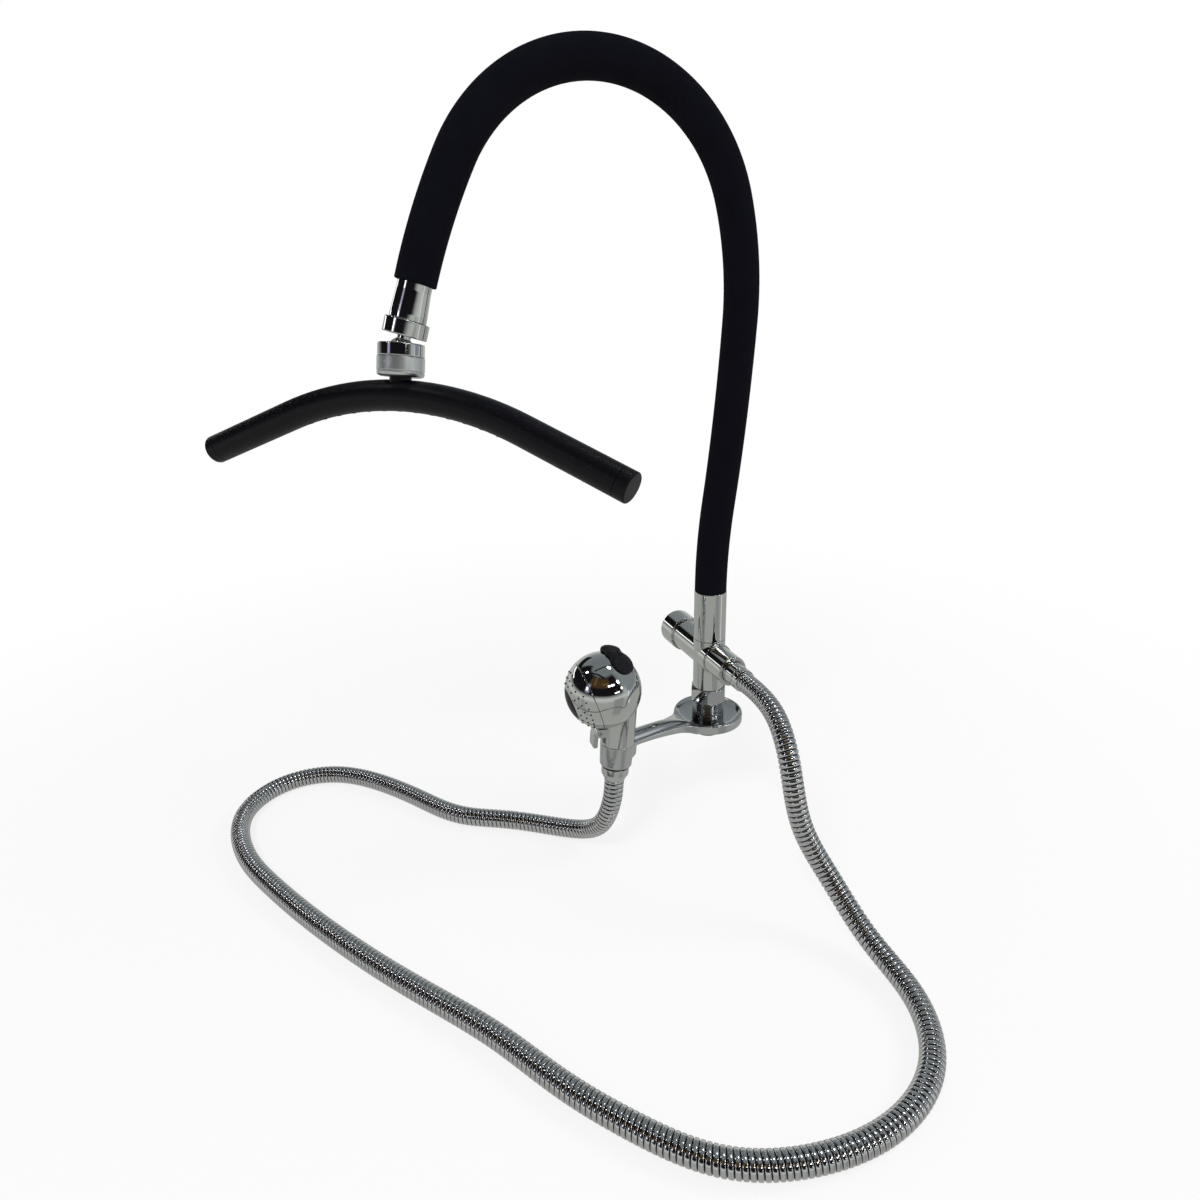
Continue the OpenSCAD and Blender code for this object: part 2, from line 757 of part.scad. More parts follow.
module lever_lugs() {
    lug_d = 6;
    for (side = [-1, 1])
        translate([0, side * (lever_w / 2 + slider_gap + lug_t / 2), 0]) rotate([90, 0, 0])
            translate([0, 0, -lug_t / 2]) linear_extrude(lug_t) {
                translate([lever_pin_x, lever_pin_h]) circle(d = lug_d);
                translate([0, lever_pin_h - lug_d / 2]) square([lever_pin_x, lug_d]);
            }
}

// Hollow back of the ball, open at the plane of the front cap
module ball_back() {
    at_face() rotate_extrude() difference() {
        intersection() {
            circle(head_r);
            translate([0, -head_r]) square([head_r, head_r + cap_plane]);
        }
        circle(head_r - head_wall);
    }
}

module handset_shell() {
    color("silver") difference() {
        union() {
            ball_back();
            difference() {
                at_handset() rod(neck_d, neck_bottom, head_up);
                at_head() sphere(head_r - head_wall / 2);
            }
            at_handset() rod(spigot_d, ring_bottom, neck_bottom);
            at_handset() rod(tail_thread_d, thread_end, ring_bottom);
            at_handset() lever_lugs();
        }
        at_handset() rod(water_d - 2, thread_end - cut, head_up);
        at_slider() translate([-slot_w / 2, -slot_len / 2, 0]) cube([slot_w, slot_len, head_r + cut]);
        at_handset() translate([lever_pin_x, 0, lever_pin_h]) rotate([90, 0, 0])
            translate([0, 0, -lever_w]) cylinder(d = lever_pin_d + 2 * fit_gap, h = 2 * lever_w);
    }
}

// Directions of the nozzles in the chrome face: [angle from the spray's axis, turn]
FACE_NOZZLES = concat(
    [for (k = [0:inner_nozzles - 1]) [inner_ring_angle, (k + 0.5) * 360 / inner_nozzles]],
    [for (k = [0:outer_nozzles - 1]) [outer_ring_angle, (k + 0.5) * 360 / outer_nozzles]]
);

// One radial pin through the face at each nozzle
module at_face_nozzles() {
    for (n = FACE_NOZZLES) rotate([0, 0, n[1]]) rotate([0, n[0], 0]) children();
}

module spray_face() {
    color("silver") at_face() difference() {
        union() {
            intersection() {
                sphere(head_r);
                rod(3 * head_r, cap_plane + cap_seam, head_r + cut);
            }
            rod(2 * skirt_r, cap_plane - skirt_len, cap_plane + cap_seam + cut);
        }
        intersection() {
            sphere(head_r - head_wall);
            rod(3 * head_r, cap_plane + cap_seam + 1, head_r);
        }
        rod(2 * skirt_r - 4, cap_plane - skirt_len - cut, cap_plane + 2 * cut);
        rod(2 * disc_r + 2 * fit_gap, cap_plane, head_r + cut);
        at_face_nozzles() rod(nozzle_d - 0.6 + 2 * fit_gap, head_r - 2 * head_wall, head_r + cut);
    }
}

module face_seal() {
    color("dimgray") at_face() seal_ring(face_seal_r, cap_plane - skirt_len / 2, 1.5);
}

module nozzle_disc() {
    nub_ring = disc_r * 0.6;
    color("black") at_face() {
        difference() {
            intersection() {
                sphere(head_r);
                rod(2 * disc_r, head_r * cos(disc_half_angle) - 3, head_r + cut);
            }
            for (k = [0:7]) rotate([0, 0, k * 45]) translate([nub_ring, 0, 0]) rod(1.2, 0, head_r + cut);
        }
    }
}

module face_nozzles() {
    color("dimgray") at_face() at_face_nozzles() rod(nozzle_d - 0.6, head_r - head_wall, head_r + 0.5);
}

module thumb_slider() {
    root = head_r - 4;
    color("black") at_slider() difference() {
        intersection() {
            sphere(head_r + slider_lift);
            union() {
                for (side = [-1, 1]) rotate([side * lobe_angle, 0, 0])
                    rod(2 * lobe_r, root, head_r + 2 * slider_lift);
                for (step = [-0.5, 0, 0.5]) rotate([step * lobe_angle, 0, 0])
                    rod(slider_waist, root, head_r + 2 * slider_lift);
            }
        }
        sphere(head_r + slider_gap);
    }
}

module slider_carrier() {
    plate_out = head_r - head_wall - slider_gap;
    color("gray") at_slider() {
        intersection() {
            difference() {
                sphere(plate_out);
                sphere(plate_out - 1.6);
            }
            rod(2 * carrier_r, 0, head_r);
        }
        intersection() {
            sphere(head_r + slider_gap - fit_gap);
            translate([-tongue_t / 2, -tongue_w / 2, plate_out - 1]) cube([tongue_t, tongue_w, 8]);
        }
    }
}

// Side view of the lever: +X forwards, +Y up
module lever_side() {
    eye_d = 5.6;
    tab_x = lever_reach - lever_t;
    difference() {
        union() {
            translate([lever_pin_x, lever_pin_h]) circle(d = eye_d);
            translate([tab_x, lever_low + 1]) square([lever_t, lever_pin_h - lever_low - 3]);
            translate([tab_x + 1, lever_low]) square([lever_t - 2, 3]);
            translate([tab_x + 1, lever_low + 1]) circle(1);
            translate([lever_reach - 1, lever_low + 1]) circle(1);
            // shoulder between the eye and the tab
            intersection() {
                translate([lever_pin_x, lever_pin_h - 3]) circle(lever_reach - lever_pin_x);
                translate([lever_pin_x, lever_pin_h - 3]) square(lever_reach);
            }
        }
        translate([lever_pin_x, lever_pin_h]) circle(d = lever_pin_d + 2 * turn_gap);
    }
}

module pause_lever() {
    color("silver") at_handset() rotate([90, 0, 0]) translate([0, 0, -lever_w / 2])
        linear_extrude(lever_w) lever_side();
}

module lever_pin() {
    pin_len = lever_w + 2 * slider_gap + 2 * lug_t;
    color("gray") at_handset() translate([lever_pin_x, pin_len / 2, lever_pin_h])
        rotate([90, 0, 0]) cylinder(d = lever_pin_d, h = pin_len);
}

// ---------------------------------------------------------------- gooseneck

module gooseneck_sleeve() {
    bore_top = spigot_top + 1;
    color("silver") difference() {
        rounded_rod(column_d, seam_z + 2 * fit_gap, sleeve_top, 0.6);
        rod(swivel_d + 2 * turn_gap, seam_z - cut, bore_top);
        rod(water_d, bore_top - cut, sleeve_top + cut);
        rod(core_d + 2 * fit_gap, bore_top + 3, sleeve_top + cut);
        rotate([0, 0, screw_dir]) translate([0, 0, clip_z]) rotate([0, 90, 0])
            cylinder(d = screw_d + 2 * fit_gap, h = column_d);
    }
}

module sleeve_screw() {
    tip = swivel_d / 2 - clip_depth + 0.3;
    tip_d = clip_groove_h - 0.6;
    color("gray") rotate([0, 0, screw_dir]) translate([0, 0, clip_z]) rotate([0, 90, 0])
        difference() {
            union() {
                rod(tip_d, tip, column_d / 2 - 0.3);
                rod(screw_d, swivel_d / 2 + 0.2, column_d / 2 - 0.3);
            }
            translate([0, 0, column_d / 2 - 1.5]) cylinder(d = 2.2, h = 2, $fn = 6);
        }
}

module sleeve_o_ring() {
    color("dimgray") seal_ring(swivel_d / 2 - ring_cord / 2, swivel_ring_z, ring_cord - 0.2);
}

// Length, heading from straight up and place [r, z] at the start of bend i
function bend_start(i) = i == 0 ? 0 : bend_start(i - 1) + bend_lengths[i - 1];
function bend_heading(i) = i == 0 ? 0 : bend_heading(i - 1) + bend_turns[i - 1];
function bend_radius(i) = bend_lengths[i] / bend_turns[i] * 180 / PI;
function bend_step(i, turn) = let (a = bend_heading(i), b = a + turn)
    bend_radius(i) * [cos(a) - cos(b), sin(b) - sin(a)];
function bend_place(i) =
    i == 0 ? [0, sleeve_top] : bend_place(i - 1) + bend_step(i - 1, bend_turns[i - 1]);
foam_end = bend_start(bend_count);
fitting_end = foam_end + fitting_len;
end_heading = bend_heading(bend_count);
end_way = [sin(end_heading), cos(end_heading)];

// Heading and place at distance s along the gooseneck
function bend_at(s, i = 0) = i == bend_count - 1 || s <= bend_start(i + 1) ? i : bend_at(s, i + 1);
function turn_at(s) = let (i = bend_at(s)) bend_turns[i] * (s - bend_start(i)) / bend_lengths[i];
function heading_at(s) = s > foam_end ? end_heading : bend_heading(bend_at(s)) + turn_at(s);
function path_at(s) = s > foam_end ? bend_place(bend_count) + (s - foam_end) * end_way
    : bend_place(bend_at(s)) + bend_step(bend_at(s), turn_at(s));

// Frame of the gooseneck at distance s along it: +Z points along the path
module at_path(s) {
    p = path_at(s);
    rotate([0, 0, arch_dir]) translate([p[0], 0, p[1]]) rotate([0, heading_at(s), 0]) children();
}

// Tube along all the bends, made one piece by a ring inside the wall at each seam
module bent_tube(d, bore) {
    for (i = [0:bend_count - 1]) {
        start = bend_start(i) + (i == 0 ? 0 : seam_gap);
        radius = abs(bend_radius(i));
        at_path(start) mirror([bend_radius(i) > 0 ? 1 : 0, 0, 0]) translate([-radius, 0, 0])
            rotate([90, 0, 0])
                rotate_extrude(angle = (bend_start(i + 1) - start) / radius * 180 / PI, $fn = 90)
                    translate([radius, 0]) difference() {
                        circle(d = d, $fn = 48);
                        circle(d = bore, $fn = 48);
                    }
        if (i > 0)
            at_path(bend_start(i)) seam_ring(d, bore);
    }
}

// Ring inside a tube's wall that makes the two sides of a seam one piece
module seam_ring(d, bore) {
    wall = (d - bore) / 2;
    tube(d - wall / 2, bore + wall / 2, -seam_ring_len / 2, seam_ring_len / 2);
}

module gooseneck_core() {
    color("gray") {
        bent_tube(core_d, core_bore);
        tube(core_d, core_bore, spigot_top + 4.5, sleeve_top - seam_gap);
        at_path(0) seam_ring(core_d, core_bore);
        at_path(foam_end) tube(core_d, core_bore, seam_gap, core_tail);
        at_path(foam_end) seam_ring(core_d, core_bore);
    }
}

module gooseneck_cover() {
    color("black") bent_tube(foam_d, core_d + 4 * fit_gap);
}

module end_fitting() {
    color("silver") at_path(foam_end) difference() {
        rotate_extrude() polygon([
            [0, fit_gap], [fitting_d / 2, fit_gap], [fitting_d / 2, 4],
            [fitting_wide_d / 2, fitting_len - 3], [fitting_wide_d / 2, fitting_len - fit_gap],
            [0, fitting_len - fit_gap]
        ]);
        rod(core_d + 4 * fit_gap, -cut, core_tail + fit_gap);
        rod(core_bore, -cut, fitting_len + cut);
    }
}

module joint_ring() {
    color("silver") at_path(fitting_end) difference() {
        rounded_rod(joint_ring_d, 0, joint_ring_h, 0.6);
        rod(stem_d + 2 * fit_gap, -cut, joint_ring_h + cut);
        rod(core_bore, -cut, joint_ring_h / 2);
    }
}

// ---------------------------------------------------------------- ball joint

module ball_stem() {
    collar_h = 1.5;
    color("silver") at_path(fitting_end) difference() {
        union() {
            rod(stem_d, joint_ring_h / 2 - collar_h, joint_ring_h + ball_drop);
            rod(core_bore - 2 * fit_gap, joint_ring_h / 2 - collar_h, joint_ring_h / 2);
            translate([0, 0, joint_ring_h + ball_drop]) sphere(ball_r);
        }
        rod(stem_d / 2, 0, joint_ring_h + ball_drop + 2 * ball_r);
    }
}

// Frame of the cup: origin at the ball's centre, +Z up the cup's axis, +X along the bar
ball_place = path_at(fitting_end + joint_ring_h + ball_drop);
module at_cup() {
    rotate([0, 0, arch_dir]) translate([ball_place[0], 0, ball_place[1]])
        rotate([0, 0, bar_heading - arch_dir]) rotate([-bar_lean, 0, 0]) children();
}

module ball_seat() {
    color("white") at_cup() difference() {
        shell_band(liner_r, liner_r + liner_t, -2 * ball_r, -ball_r * 0.9);
        rod(stem_d / 2, -2 * ball_r, 0);
    }
}

module ball_seal() {
    color("white") at_cup() shell_band(liner_r, liner_r + liner_t, -ball_r * 0.6, lid_z - 0.3);
}

module ring_nut() {
    color("silver") at_cup() difference() {
        rounded_rod(ring_nut_d, nut_seam, -nut_seam, 0.8);
        sphere(liner_r);
        rod(cup_spigot_d + 2 * fit_gap, nut_seam - cut, lid_z);
    }
}

module joint_cup() {
    edge_r = 1.8;
    color("lightgray") at_cup() difference() {
        union() {
            mirror([0, 0, 1]) rounded_rod(cup_d, -cup_top, -cup_bottom, edge_r);
            rod(cup_spigot_d, cup_top - cut, lid_z - fit_gap);
        }
        sphere(pocket_r);
        rod(2 * pocket_r, 0, pocket_r);
        rod(bar_neck_d - 2 + 2 * fit_gap, cup_bottom - cut, neck_top);
        rod(4, cup_bottom, 0);
    }
}

// ---------------------------------------------------------------- spray bar

module bar_neck() {
    bar_top = -bar_drop + bar_d / 2;
    color("black") at_cup() difference() {
        union() {
            rod(bar_neck_d - 2, cup_bottom - cut, neck_top - fit_gap);
            rod(bar_neck_d, bar_top - bar_wall - 1, cup_bottom - fit_gap);
        }
        rod(4, bar_top - bar_wall - 2, neck_top);
    }
}

// Frame of the bar's bend: origin at the centre of the bend, +Z up
module at_bend() {
    at_cup() translate([0, 0, -bar_drop - bar_bend_r]) children();
}

// Tube along the whole bar: the bend and a straight arm on each side
module bar_tube(d, bore) {
    half = bar_half_angle;
    at_bend() rotate([90, 0, 0]) rotate([0, 0, 90 - half])
        rotate_extrude(angle = 2 * half, $fn = 180) translate([bar_bend_r, 0]) difference() {
            circle(d = d, $fn = 48);
            circle(d = bore, $fn = 48);
        }
    for (side = [0, 180]) bar_end(side) {
        tube(d, bore, -bar_arm + seam_gap, 0);
        translate([0, 0, -bar_arm]) seam_ring(d, bore);
    }
}

// Frame at the bar's end: +Z points out of the end, side 0 is along the heading
module bar_end(side) {
    at_cup() translate([0, 0, -bar_drop]) rotate([0, 0, side])
        translate([bar_chord + bar_arm * cos(bar_half_angle), 0,
                   -bar_sag - bar_arm * sin(bar_half_angle)])
            rotate([0, 90 + bar_half_angle, 0]) children();
}

// One child at each nozzle's place under the bar, +Z pointing down out of the bar
module at_bar_nozzles() {
    for (k = [0:bar_nozzle_count - 1])
        at_bend() rotate([0, (k - (bar_nozzle_count - 1) / 2) * nozzle_pitch, 0])
            translate([0, 0, bar_bend_r]) rotate([180, 0, 0]) children();
}

module spray_bar() {
    color("black") difference() {
        bar_tube(bar_d, 2 * bar_bore_r);
        at_cup() rod(bar_neck_d + 2 * fit_gap, -bar_drop, 0);
        at_bar_nozzles() rod(nozzle_d + 2 * fit_gap, 0, bar_d);
    }
}

module bar_cap(side) {
    plug_len = 8;
    seam = 0.3;
    color("black") bar_end(side) {
        rounded_rod(bar_d, seam, bar_cap_len, 1);
        tube(2 * bar_bore_r - 2 * fit_gap, 2 * bar_bore_r - 3, -plug_len, seam);
    }
}

module bar_cap_left() {
    bar_cap(180);
}

module bar_cap_right() {
    bar_cap(0);
}

module bar_nozzles() {
    color("dimgray") at_bar_nozzles() tube(nozzle_d, 1, bar_bore_r - 0.5, bar_d / 2 + bar_nozzle_h);
}

holder_bracket();
base_gasket();
inlet_nipple();
swivel_nut();
nut_washer();
diverter_body();
diverter_spindle();
spindle_gland();
spindle_o_ring();
diverter_knob();
knob_screw();
knob_cap();
outlet_collar();
outlet_washer();
hose_ferrule();
hose();
hose_tail();
hose_washer();
cone_nut();
cone_washer();
handset_shell();
spray_face();
face_seal();
nozzle_disc();
face_nozzles();
thumb_slider();
slider_carrier();
pause_lever();
lever_pin();
gooseneck_sleeve();
sleeve_screw();
sleeve_o_ring();
gooseneck_core();
gooseneck_cover();
end_fitting();
joint_ring();
ball_stem();
ball_seat();
ball_seal();
ring_nut();
joint_cup();
bar_neck();
spray_bar();
bar_cap_left();
bar_cap_right();
bar_nozzles();
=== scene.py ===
# Pet-bath sprayer set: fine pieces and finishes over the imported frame.
# Lengths are in metres, angles in degrees.
import json
import math

import bmesh
import bpy
import numpy as np
from mathutils import Matrix, Vector


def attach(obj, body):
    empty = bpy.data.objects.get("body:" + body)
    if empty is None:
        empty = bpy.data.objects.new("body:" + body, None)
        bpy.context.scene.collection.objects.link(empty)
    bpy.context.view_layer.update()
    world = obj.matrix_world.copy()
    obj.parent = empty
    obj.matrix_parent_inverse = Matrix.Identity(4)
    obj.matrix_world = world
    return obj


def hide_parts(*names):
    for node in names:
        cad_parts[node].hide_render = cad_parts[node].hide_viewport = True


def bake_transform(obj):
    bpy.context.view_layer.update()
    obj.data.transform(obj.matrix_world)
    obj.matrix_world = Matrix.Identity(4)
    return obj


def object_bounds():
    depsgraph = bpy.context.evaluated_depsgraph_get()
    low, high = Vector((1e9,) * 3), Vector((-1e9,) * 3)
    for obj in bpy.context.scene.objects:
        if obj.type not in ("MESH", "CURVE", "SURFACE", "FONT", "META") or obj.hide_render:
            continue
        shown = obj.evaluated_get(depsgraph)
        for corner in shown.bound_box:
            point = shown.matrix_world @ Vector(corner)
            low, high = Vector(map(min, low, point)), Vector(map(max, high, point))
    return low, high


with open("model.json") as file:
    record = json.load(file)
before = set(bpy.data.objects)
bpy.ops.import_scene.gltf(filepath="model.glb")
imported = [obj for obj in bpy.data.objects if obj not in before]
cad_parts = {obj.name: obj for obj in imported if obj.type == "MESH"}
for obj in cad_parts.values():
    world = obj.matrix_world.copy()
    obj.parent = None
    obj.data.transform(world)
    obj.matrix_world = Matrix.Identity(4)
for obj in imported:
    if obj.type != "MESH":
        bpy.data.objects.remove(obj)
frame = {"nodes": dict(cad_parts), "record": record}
CAD_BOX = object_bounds()
NODES = frame["nodes"]

# ---- sizes

# Camera: how far the flange is from the lens, and where it is seen from the middle of the view
LENS = 25.5
SENSOR = 36.0
FLANGE_DEPTH = 0.629
FLANGE_RIGHT = 0.0798
FLANGE_DOWN = 0.0810
FLANGE_MIDDLE = Vector((0, 0, 0.007))
VIEW_AZIMUTH = -21
VIEW_DOWN = 22
VIEW_ROLL = -1.7

# Column and tee
STUB_LEN = 0.010
NIPPLE_TOP = 0.0215
NIPPLE_BORE_R = 0.007
THREAD_R = 0.0104775
THREAD_PITCH = 0.001814
THREAD_DEPTH = 0.0012
SHOULDER_R, SHOULDER_FROM, SHOULDER_TO = 0.0115, 0.004, 0.008
COLUMN_R = 0.01125
SEAM_Z = 0.066
SLEEVE_TOP = 0.102
SLEEVE_BORE_R, SLEEVE_STEP, SLEEVE_TAPER = 0.00906, 0.082, 0.003
SCREW_DIRECTION, SCREW_Z, SCREW_R = 60, 0.0765, 0.00205
CROSS_Z = 0.0535
KNOB_R = 0.0131
KNOB_FROM, KNOB_TO = 0.0358, 0.0529
KNOB_WALL = 0.0022
KNOB_CAP_R = 0.007
KNOB_CAP_H = 0.0015
KNOB_BOSS_R, KNOB_STEM_R = 0.0065, 0.00405
KNOB_SCREW_HEAD_R, KNOB_SCREW_R = 0.00355, 0.00155
KNOB_SEAT, KNOB_SOCKET = 0.0013, 0.003
COLLAR_R = 0.01065
COLLAR_FROM, COLLAR_TO = 0.01225, 0.0335
COLLAR_BORE_R, COLLAR_HOLE_R = 0.00865, 0.005
COLLAR_FLOOR, COLLAR_LIP = 0.004, 0.002
COLLAR_EASE_R, COLLAR_EASE_H = 0.0004, 0.0006
FERRULE_R = 0.0078
FERRULE_FROM, FERRULE_TO = 0.01775, 0.050
FERRULE_HEAD_R, FERRULE_HEAD_H = 0.0085, 0.002
FERRULE_TAPER = 0.0010
# the crimped groove: depth, and distance from the ferrule's end
FERRULE_CRIMP = ((0, 0.0060), (0.0005, 0.0054), (0.0005, 0.0048), (0, 0.0042))

# Flange, arm and ring
FLANGE_R, FLANGE_H = 0.025, 0.007
FLANGE_BORE_R = 0.0105275
FLANGE_FLOOR, FLANGE_LIP = 0.004, 0.001
# the bowl's radius and height in mm, from the lip inwards
FLANGE_BOWL = ((24.2, 7.0), (23.4, 6.9), (22.5, 6.0), (21, 5.1), (19, 4.5), (16, 4.1), (12, 4.0))
GASKET_R, GASKET_H = 0.02005, 0.0018
ARM_FROM, ARM_TO = 0.017, 0.088
# the arm's sides in mm: an arc that is tangent to the flange, then a waist
FLARE_END, FLARE_R, FLARE_MIDDLE = 44.3, 40, 47.6
WAIST_AT, WAIST_HALF, WAIST_SPREAD, WAIST_REACH = 68, 6.2, 1.4, 24
# heights along the arm in mm: where it starts, height there, quick rise and its distance, steady slope
ARM_UNDERSIDE = (25, 0.9, 3.2, 8, 0.155)
ARM_LEDGE_TOP = (23, 7, 3.4, 9, 0.105)
ARM_SPINE = (23, 0, 5.6, 20, 0)
# corners of the arm's side in mm, from its half width and the height of its underside or its ledge
ARM_LOW_CORNER = ((-1.5, 0), (-0.4, 0.4), (0, 1.5))
ARM_HIGH_CORNER = ((0, -0.5), (-0.3, 0))
ARM_LEDGE, ARM_LEDGE_LEAST, SPINE_HALF = 1.2, 0.3, 4.6
# the part of the spine's height that its hollow foot takes
SPINE_FOOT = 0.25
RING_BORE_R = 0.0099
RING_TOP = 0.0085
RING_TOP_R, RING_BOTTOM_R = 0.0115, 0.0108
ARM_DIRECTION = 200
RING_REACH = 0.092
RING_Z = 0.010
RING_LEAN = 7
RING_BOTTOM = -0.0075
# the arm's end below the ring: radius and height of a boss's discs, and its two middles
BOSS_DISCS = ((0.006, 0.0045), (0.006, -0.0025), (0.0045, -0.0053), (0.0025, -0.0063))
BOSS_MIDDLES = (0, -0.0105)
# what the bowl and the ring's bore take out of the arm: radius and height
BOWL_CUT = (
    (0, -0.002), (0.021, -0.002), (0.021, 0.0050), (0.0228, 0.0056), (0.0228, 0.030), (0, 0.030),
)
RING_CUT = (
    (0, -0.020), (0.0106, -0.020), (0.0106, RING_TOP), (0.0117, RING_TOP), (0.0117, 0.030), (0, 0.030),
)
# castings: cell that they are remeshed in, and how often they are relaxed
BRACKET_CELL, BRACKET_PASSES = 0.00035, 7
LEVER_CELL, LEVER_PASSES = 0.0002, 5

# Handset
HANDSET_HEADING = 175
HEAD_OUT, HEAD_UP = 0.0125, 0.047
FACE_DROP = 23
HEAD_R, HEAD_WALL = 0.0252, 0.0024
CAP_PLANE, DISC_R, SKIRT_R = 0.009846, 0.01105, 0.0194
CAP_GAP, CAP_LIP, SKIRT_DEPTH, SKIRT_WALL = 0.00025, 0.001, 0.003, 0.002
# rings of nubs: degrees from the face's middle, and how many
NOZZLE_RINGS = ((34, 16), (43, 22), (52, 28))
NUB_R, NUB_ROOT, NUB_H, NUB_EDGE = 0.00055, 0.001, 0.0004, 0.00025
SLIDER_TILT = -30
SLIDER_GAP = 0.00035
# round lobes of the slider's outline: degrees across and along the ball, radius in degrees
SLIDER_LOBES = ((9, 22, 20), (18, 4, 14), (20, -13, 14))
SLIDER_MIDDLE = (14, 8)
# the chrome plate under it, which keeps the slot covered as it slides
PLATE_LOBES = ((0, 20, 12), (0, 0, 11.5), (0, -20, 12))
PLATE_MIDDLE = (0, 0)
PLATE_H = 0.00022
LOBE_BLEND = 6
# the pad's edge, its height, what the far lobe adds, and the share that the valley takes
PAD_EDGE, PAD_H, PAD_FAR_H, VALLEY_SHARE = 0.0003, 0.0024, 0.0016, 0.18
# along the ball in radians: the far lobe's start and climb, the valley's middle and half width
FAR_FROM, FAR_CLIMB, VALLEY_AT, VALLEY_HALF = 0.25, 0.5, 0.02, 0.12
# rows of points from a pad's middle to its edge, closer where it curves
PAD_ROWS = (0.12, 0.25, 0.4, 0.55, 0.68, 0.79, 0.87, 0.93, 0.965, 0.985, 1.0)
SPIGOT_R = 0.0095
TAIL_THREAD_R = 0.00838
CONE_R, CONE_END_R = 0.0093, 0.0072
CONE_TOP, CONE_BOTTOM = -0.0091, -0.0187
CONE_TAPER, CONE_LIP = 0.005, 0.0008
CONE_BORE_R, CONE_HOLE_R = 0.00725, 0.0058
CONE_THREAD_UP, CONE_STEP_UP = 0.005, 0.0023

# Gooseneck: lengths of its bends and how far each turns, from the sleeve's top
ARCH_DIRECTION = 185.5
BENDS = ((0.062, -8.7), (0.117, 4.8), (0.070, 20.1), (0.219, 134.5), (0.065, 10.4))
FOAM_R = 0.011
CORE_R = 0.008
FOAM_BORE_R = CORE_R + 0.0001
FOAM_END = sum(length for length, _ in BENDS)
# the foam's end: distance from the end, radius
FOAM_EDGE = (
    (0.0, FOAM_BORE_R + 0.0004), (0.0, FOAM_R - 0.0005), (0.00015, FOAM_R - 0.00015), (0.0005, FOAM_R),
)
FITTING_LEN, FITTING_STRAIGHT, FITTING_RIM = 0.019, 0.004, 0.003
FITTING_R, FITTING_WIDE_R = 0.009, 0.00975
FITTING_BORE_R, FITTING_SOCKET = 0.0055, 0.00805
JOINT_RING_R, JOINT_RING_H = 0.01175, 0.008
JOINT_BORE_R, JOINT_STEM_R = 0.0055, 0.00365
BALL_DROP = 0.0075

# Ball joint: ring nut and cup, which move with the spray bar
BAR_HEADING = -47.4
BAR_LEAN = 12.3
RING_NUT_R = 0.01225
NUT_SEAM = -0.0034
NUT_SEAM_GAP = 0.00002
NUT_MOUTH_R, NUT_THREAD_R = 0.0064, 0.01055
# radius and height of what the ball's liners lie against in the nut and in the cup
NUT_SEAT = ((0.0069, 0.0020), (0.00715, 0.0009), (0.0072, -0.0003))
CUP_SEAT = ((0.0087, -0.00035), (0.0080, -0.0034), (0.0064, -0.0059), (0.0040, -0.0077), (0.0020, -0.0085))
CUP_R, CUP_THREAD_R = 0.0125, 0.0105
CUP_TOP, CUP_BOTTOM = -0.00345, -0.01345
# the cup's lower edge and a fine groove over it: depth, and height over its bottom
CUP_SKIN = (
    (0.0018, 0), (0.0005, 0.0006), (0, 0.0018), (0, 0.0022), (0.0004, 0.0024), (0.0004, 0.0027), (0, 0.0029),
)
CUP_NECK_R, CUP_NECK_H = 0.0048, 0.003

# Hose: strip-wound, with the points that its curve is drawn by
HOSE_R = 0.00675
HOSE_BORE_R = 0.004
HOSE_PITCH = 0.0032
# one turn of the strip: a narrow groove, then a nearly flat band with rounded shoulders,
# given by parts of a pitch and depths in mm
GROOVE_DEPTH, GROOVE_PART = 0.0008, 0.12
HOSE_BAND = ((0.16, 0.34), (0.22, 0.15), (0.34, 0.04), (0.55, 0.0), (0.76, 0.04), (0.89, 0.15), (0.95, 0.34))
HOSE_STRAIGHT = 0.008
# the run at the handset's end: its length, the end that would move fully, and the height it would be blended
# over
HOSE_LIFTED, HOSE_STIFF_END, HOSE_RISE = 0.12, 0.015, 0.047
HOSE_ROUTE = (
    (0, -90, 50), (-5, -115, 30), (-5, -125, -10), (10, -140, -40), (15, -175, -65),
    (20, -215, -70), (0, -255, -70), (-40, -275, -70), (-85, -275, -70), (-130, -260, -70),
    (-160, -225, -70), (-185, -190, -70), (-205, -150, -70), (-230, -115, -70),
    (-255, -80, -70), (-280, -40, -70), (-300, -5, -70), (-320, 35, -70), (-335, 70, -70),
    (-340, 125, -70), (-305, 160, -70), (-255, 155, -70), (-215, 105, -70), (-200, 80, -70),
    (-180, 50, -70), (-145, 35, -70), (-100, -5, -70), (-95, -30, -45),
)
MM = 0.001
# gap between pieces that fit into each other
FIT = 0.00005

# ---- places


def turn(axis, degrees):
    return Matrix.Rotation(math.radians(degrees), 4, axis)


def shift(x, y, z):
    return Matrix.Translation((x, y, z))


# Local +Z is the piece's own axis in each of these
COLUMN = Matrix.Identity(4)
KNOB_AXIS = shift(0, 0, CROSS_Z) @ turn("X", -90)
OUTLET_AXIS = shift(0, 0, CROSS_Z) @ turn("X", 90)
HANDSET = (
    turn("Z", ARM_DIRECTION) @ shift(RING_REACH, 0, RING_Z) @ turn("Y", -RING_LEAN)
    @ turn("Z", HANDSET_HEADING - ARM_DIRECTION)
)
HEAD = HANDSET @ shift(HEAD_OUT, 0, HEAD_UP)
FACE = HEAD @ turn("Y", 90 + FACE_DROP)
SLIDER = HEAD @ turn("Y", SLIDER_TILT)
ARM = turn("Z", ARM_DIRECTION)
RING = ARM @ shift(RING_REACH, 0, RING_Z) @ turn("Y", -RING_LEAN)


